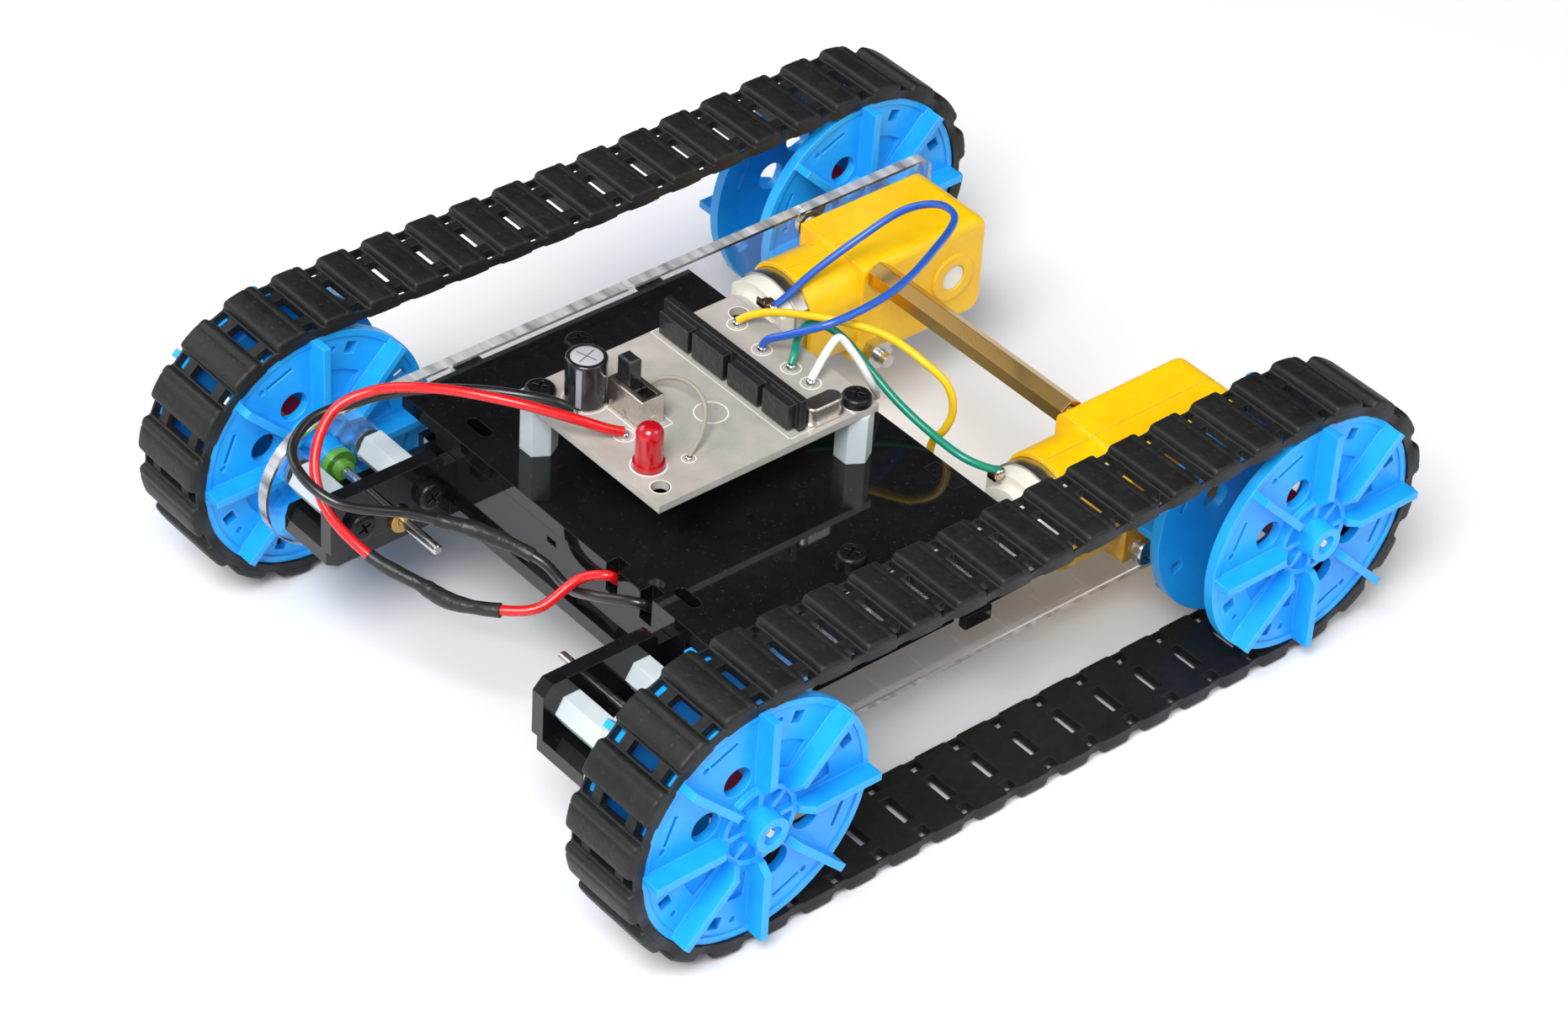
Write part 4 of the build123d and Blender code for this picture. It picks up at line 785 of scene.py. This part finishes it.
def make_switch_details():
    """Three legs on each long side, a tab at each end, and a near-black sheet in the slot: painted
    shade on its floor.
    """
    shape = Shape()
    for k in (-1, 0, 1):
        x = SWITCH_X + k * SWITCH_LEG_SPACING
        for y0, y1 in ((-2.72, -2.5), (2.5, 2.72)):
            shape.box((x - 0.3, SWITCH_Y + y0, BOARD_Z), (x + 0.3, SWITCH_Y + y1, BOARD_Z + 1.5))
    for x0, x1 in ((-5.0, -4.78), (4.78, 5.0)):
        shape.box((SWITCH_X + x0, SWITCH_Y - 0.6, BOARD_Z),
                  (SWITCH_X + x1, SWITCH_Y + 0.6, BOARD_Z + 2.2))
    make_piece("switch_tabs", shape, "tin", smooth=False)
    # thin near-black sheet at the floor of the slot: painted shade
    shape = Shape()
    shape.box((SWITCH_X - SWITCH_LEG_SPACING, SWITCH_Y - 1.32, BOARD_Z + 3.02),
              (SWITCH_X + SWITCH_LEG_SPACING, SWITCH_Y + 1.32, BOARD_Z + 3.04))
    make_piece("switch_slot_floor", shape, "painted_recess_shade", smooth=False)


def make_lamp_anvil():
    """Cup and post seen through the lens."""
    cup = [(0.35, 0), (0.35, 4.2), (1.0, 5.0), (1.0, 5.6), (0.7, 5.6), (0.3, 5.1)]
    post = [(0.3, 0), (0.3, 4.0), (0.55, 4.4), (0.2, 5.2)]
    shape = Shape()
    for x, profile, segments in ((7.7, cup, 16), (9.1, post, 12)):
        shape.lathe((x, LAMP_Y, BOARD_Z + 0.2), (0, 0, 1), profile, segments)
    make_piece("lamp_anvil", shape, "steel", sharp_angle=40)


# parts on the upright receiver module: (middle x, width, foot over the board, height)
RECEIVER_LOW_Y_PARTS = [
    (-19.0, 2.2, 1.2, 2.6), (-14.6, 3.0, 1.6, 3.0), (-5.2, 2.6, 1.4, 3.4), (4.4, 3.2, 1.2, 3.0),
    (12.6, 2.8, 1.4, 3.2)]
RECEIVER_HIGH_Y_PARTS = [(-15.0, 5.0, 1.0, 4.2), (-4.0, 6.4, 1.2, 3.8), (8.0, 4.6, 1.0, 4.4)]


def make_receiver_pins():
    count, first_x, spacing = 17, -19.2, 2.1
    shape = Shape()
    for i in range(count):
        x = first_x + i * spacing
        shape.box((x - 0.3, -9.9, BOARD_Z), (x + 0.3, -9.5, BOARD_Z + 1.3))
    make_piece("receiver_pins", shape, "solder", smooth=False)


def make_receiver_parts():
    """Strip along the module's top edge and the parts on its two faces."""
    shape = Shape()
    shape.chamfered_box((-21.5, -11.72, BOARD_Z + 6.2), (16.3, -10.28, BOARD_Z + 6.58), 0.1)
    for parts, y0, y1, cut in ((RECEIVER_LOW_Y_PARTS, -13.64, -13.4, 0.08),
                               (RECEIVER_HIGH_Y_PARTS, -10.32, -9.95, 0.1)):
        for x, width, foot, height in parts:
            z = BOARD_Z + foot
            shape.chamfered_box((x - width / 2, y0, z), (x + width / 2, y1, z + height), cut)
    make_piece("receiver_parts", shape, "black_plastic", smooth=False)


def make_crystal_mark():
    # small near-black ring on the crystal, coloured as painted shade of a hollow
    shape = Shape()
    shape.flat_ring(15.0, -5.5, BOARD_Z + 0.5, inner=0.2, outer=0.3, height=0.02, segments=12)
    make_piece("crystal_mark", shape, "painted_recess_shade", smooth=False)


# ------------------------------------------------------------------ motors
def make_motor_terminals():
    """On each motor's inner side, a folded tab above and an upright tab below."""
    y0, y1 = 20.6, 23.6
    shape = Shape()
    for side in (-1, 1):
        x, z = side * (MOTOR_X - 3.8), AXLE_Z + 9.3
        shape.box((x - 1.0, y0, z - 0.9), (x + 1.0, y1, z - 0.3))
        shape.box((x - 1.0, y0, z - 0.9), (x + 1.0, y0 + 0.4, z + 0.6))
        x, z = side * (MOTOR_X - 7.4), AXLE_Z - 3.5
        shape.box((x - 0.25, y0, z - 1.2), (x + 0.25, y1, z + 1.2))
    make_piece("motor_terminals", shape, "copper", smooth=False)


def make_motor_solder():
    shape = Shape()
    shape.solder_mound(-30.6, 22.4, AXLE_Z + 7.9, radius=1.2, height=1.3, seed=21)
    shape.solder_mound(32.4, 22.4, AXLE_Z + 8.9, radius=1.3, height=1.4, seed=22)
    make_piece("motor_solder", shape, "solder")


def make_end_cap_rivets():
    profile = [(0.9, -1.0), (0.9, 0.0), (0.7, 0.06), (0.0, 0.06)]
    shape = Shape()
    for side in (-1, 1):
        for z in (-2.86, 2.86):
            shape.lathe((side * MOTOR_X, 19.95, AXLE_Z + z), (0, -1, 0), profile, 16)
    make_piece("end_cap_rivets", shape, "white_plastic", sharp_angle=40)


# ------------------------------------------------------------------ stage
def make_floor():
    half = 6.0
    mesh = bpy.data.meshes.new("floor")
    mesh.from_pydata([(-half, -half, 0), (half, -half, 0), (half, half, 0), (-half, half, 0)],
                     [], [(0, 1, 2, 3)])
    floor = bpy.data.objects.new("studio_floor", mesh)
    scene.collection.objects.link(floor)
    material = bpy.data.materials.new("studio_floor")
    material.use_nodes = True
    inputs = material.node_tree.nodes["Principled BSDF"].inputs
    inputs["Base Color"].default_value = (0.9, 0.9, 0.91, 1)
    inputs["Roughness"].default_value = 0.5
    inputs["Specular IOR Level"].default_value = 0.3
    mesh.materials.append(material)
    floor.location.z = -0.0001      # just under the belts
    floor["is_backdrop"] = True


def make_world():
    """Sky that brightens upwards, with one dim patch."""
    world = bpy.data.worlds.new("studio")
    scene.world = world
    world.use_nodes = True
    tree = world.node_tree
    direction = add_node(tree, "ShaderNodeTexCoord").outputs["Generated"]
    split = add_node(tree, "ShaderNodeSeparateXYZ", {"Vector": direction})
    height = add_node(tree, "ShaderNodeMapRange", {
        "Value": split.outputs["Z"], "From Min": -0.1, "From Max": 1.0})
    sky = add_ramp(tree, height.outputs["Result"], 0.0, 1.0,
                   low=(0.62, 0.63, 0.66), high=(0.95, 0.95, 0.96))
    nearness = add_node(tree, "ShaderNodeVectorMath", {0: direction, 1: (-0.58, 0.527, 0.62)},
                        operation="DOT_PRODUCT")
    dimming = add_node(tree, "ShaderNodeMapRange", {
        "Value": nearness.outputs["Value"],
        "From Min": 0.3, "From Max": 0.8, "To Min": 1.0, "To Max": 0.1,
    }, interpolation_type="SMOOTHSTEP")
    color = add_mix(tree, 1.0, sky, dimming.outputs["Result"], blend_type="MULTIPLY")
    background = tree.nodes["Background"]
    background.inputs["Strength"].default_value = 0.7
    tree.links.new(color, background.inputs["Color"])


def make_light(name, location, size, power, color=(1, 1, 1)):
    """Rectangular light aimed just above the middle of the floor."""
    light = bpy.data.lights.new(name, "AREA")
    light.shape = "RECTANGLE"
    light.size, light.size_y = size
    light.energy = power
    light.color = color
    lamp = bpy.data.objects.new(name, light)
    scene.collection.objects.link(lamp)
    lamp.location = location
    aim = Vector((0, 0, 0.02)) - Vector(location)
    lamp.rotation_mode = "QUATERNION"
    lamp.rotation_quaternion = aim.to_track_quat("-Z", "Y")
    lamp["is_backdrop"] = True


def make_camera():
    right = (0.6397446705767924, 0.7668220412401546, 0.052064513220367925)
    up = (-0.5035422447821502, 0.36699003186647605, 0.7821531334913873)
    back = (0.5806651050203935, -0.5265949805865274, 0.6209072090358831)
    position = (0.4906666393953215, -0.44407740133190174, 0.5130344288165865 + AXLE_Z * MM)
    lens = bpy.data.cameras.new("camera")
    camera = bpy.data.objects.new("camera", lens)
    scene.collection.objects.link(camera)
    lens.sensor_fit = "HORIZONTAL"
    lens.sensor_width = 36.0
    lens.lens = 106.13944671
    lens.clip_start, lens.clip_end = 0.05, 20
    camera.matrix_world = Matrix(
        ((*right, 0), (*up, 0), (*back, 0), (*position, 1))).transposed()
    scene.camera = camera


# ------------------------------------------------------------------ build
make_belt("left", sign=-1, seed=5)
make_belt("right", sign=1, seed=3)
curves = {name: make_cable(name, *cable) for name, cable in CABLES.items()}
for color, first, last, phase in SLEEVES:
    make_sleeve(color, curves["battery_lead_" + color][first:last + 1], phase)
make_board_solder()
make_board_print()
make_hole_lands()
make_underside_chips()
make_capacitor_top()
make_capacitor_stripe()
make_switch_details()
make_lamp_anvil()
make_receiver_pins()
make_receiver_parts()
make_crystal_mark()
make_motor_terminals()
make_motor_solder()
make_end_cap_rivets()

make_floor()
make_world()
make_light("key", (0.45, -0.75, 1.1), size=(0.7, 0.7), power=21.0)
make_light("fill", (-0.9, -0.4, 0.7), size=(0.8, 0.6), power=4.0, color=(0.96, 0.98, 1.0))
make_light("back", (0.9, 0.5, 0.9), size=(0.6, 0.5), power=3.0)
make_camera()
scene.view_settings.view_transform = "Standard"
scene.view_settings.look = "None"
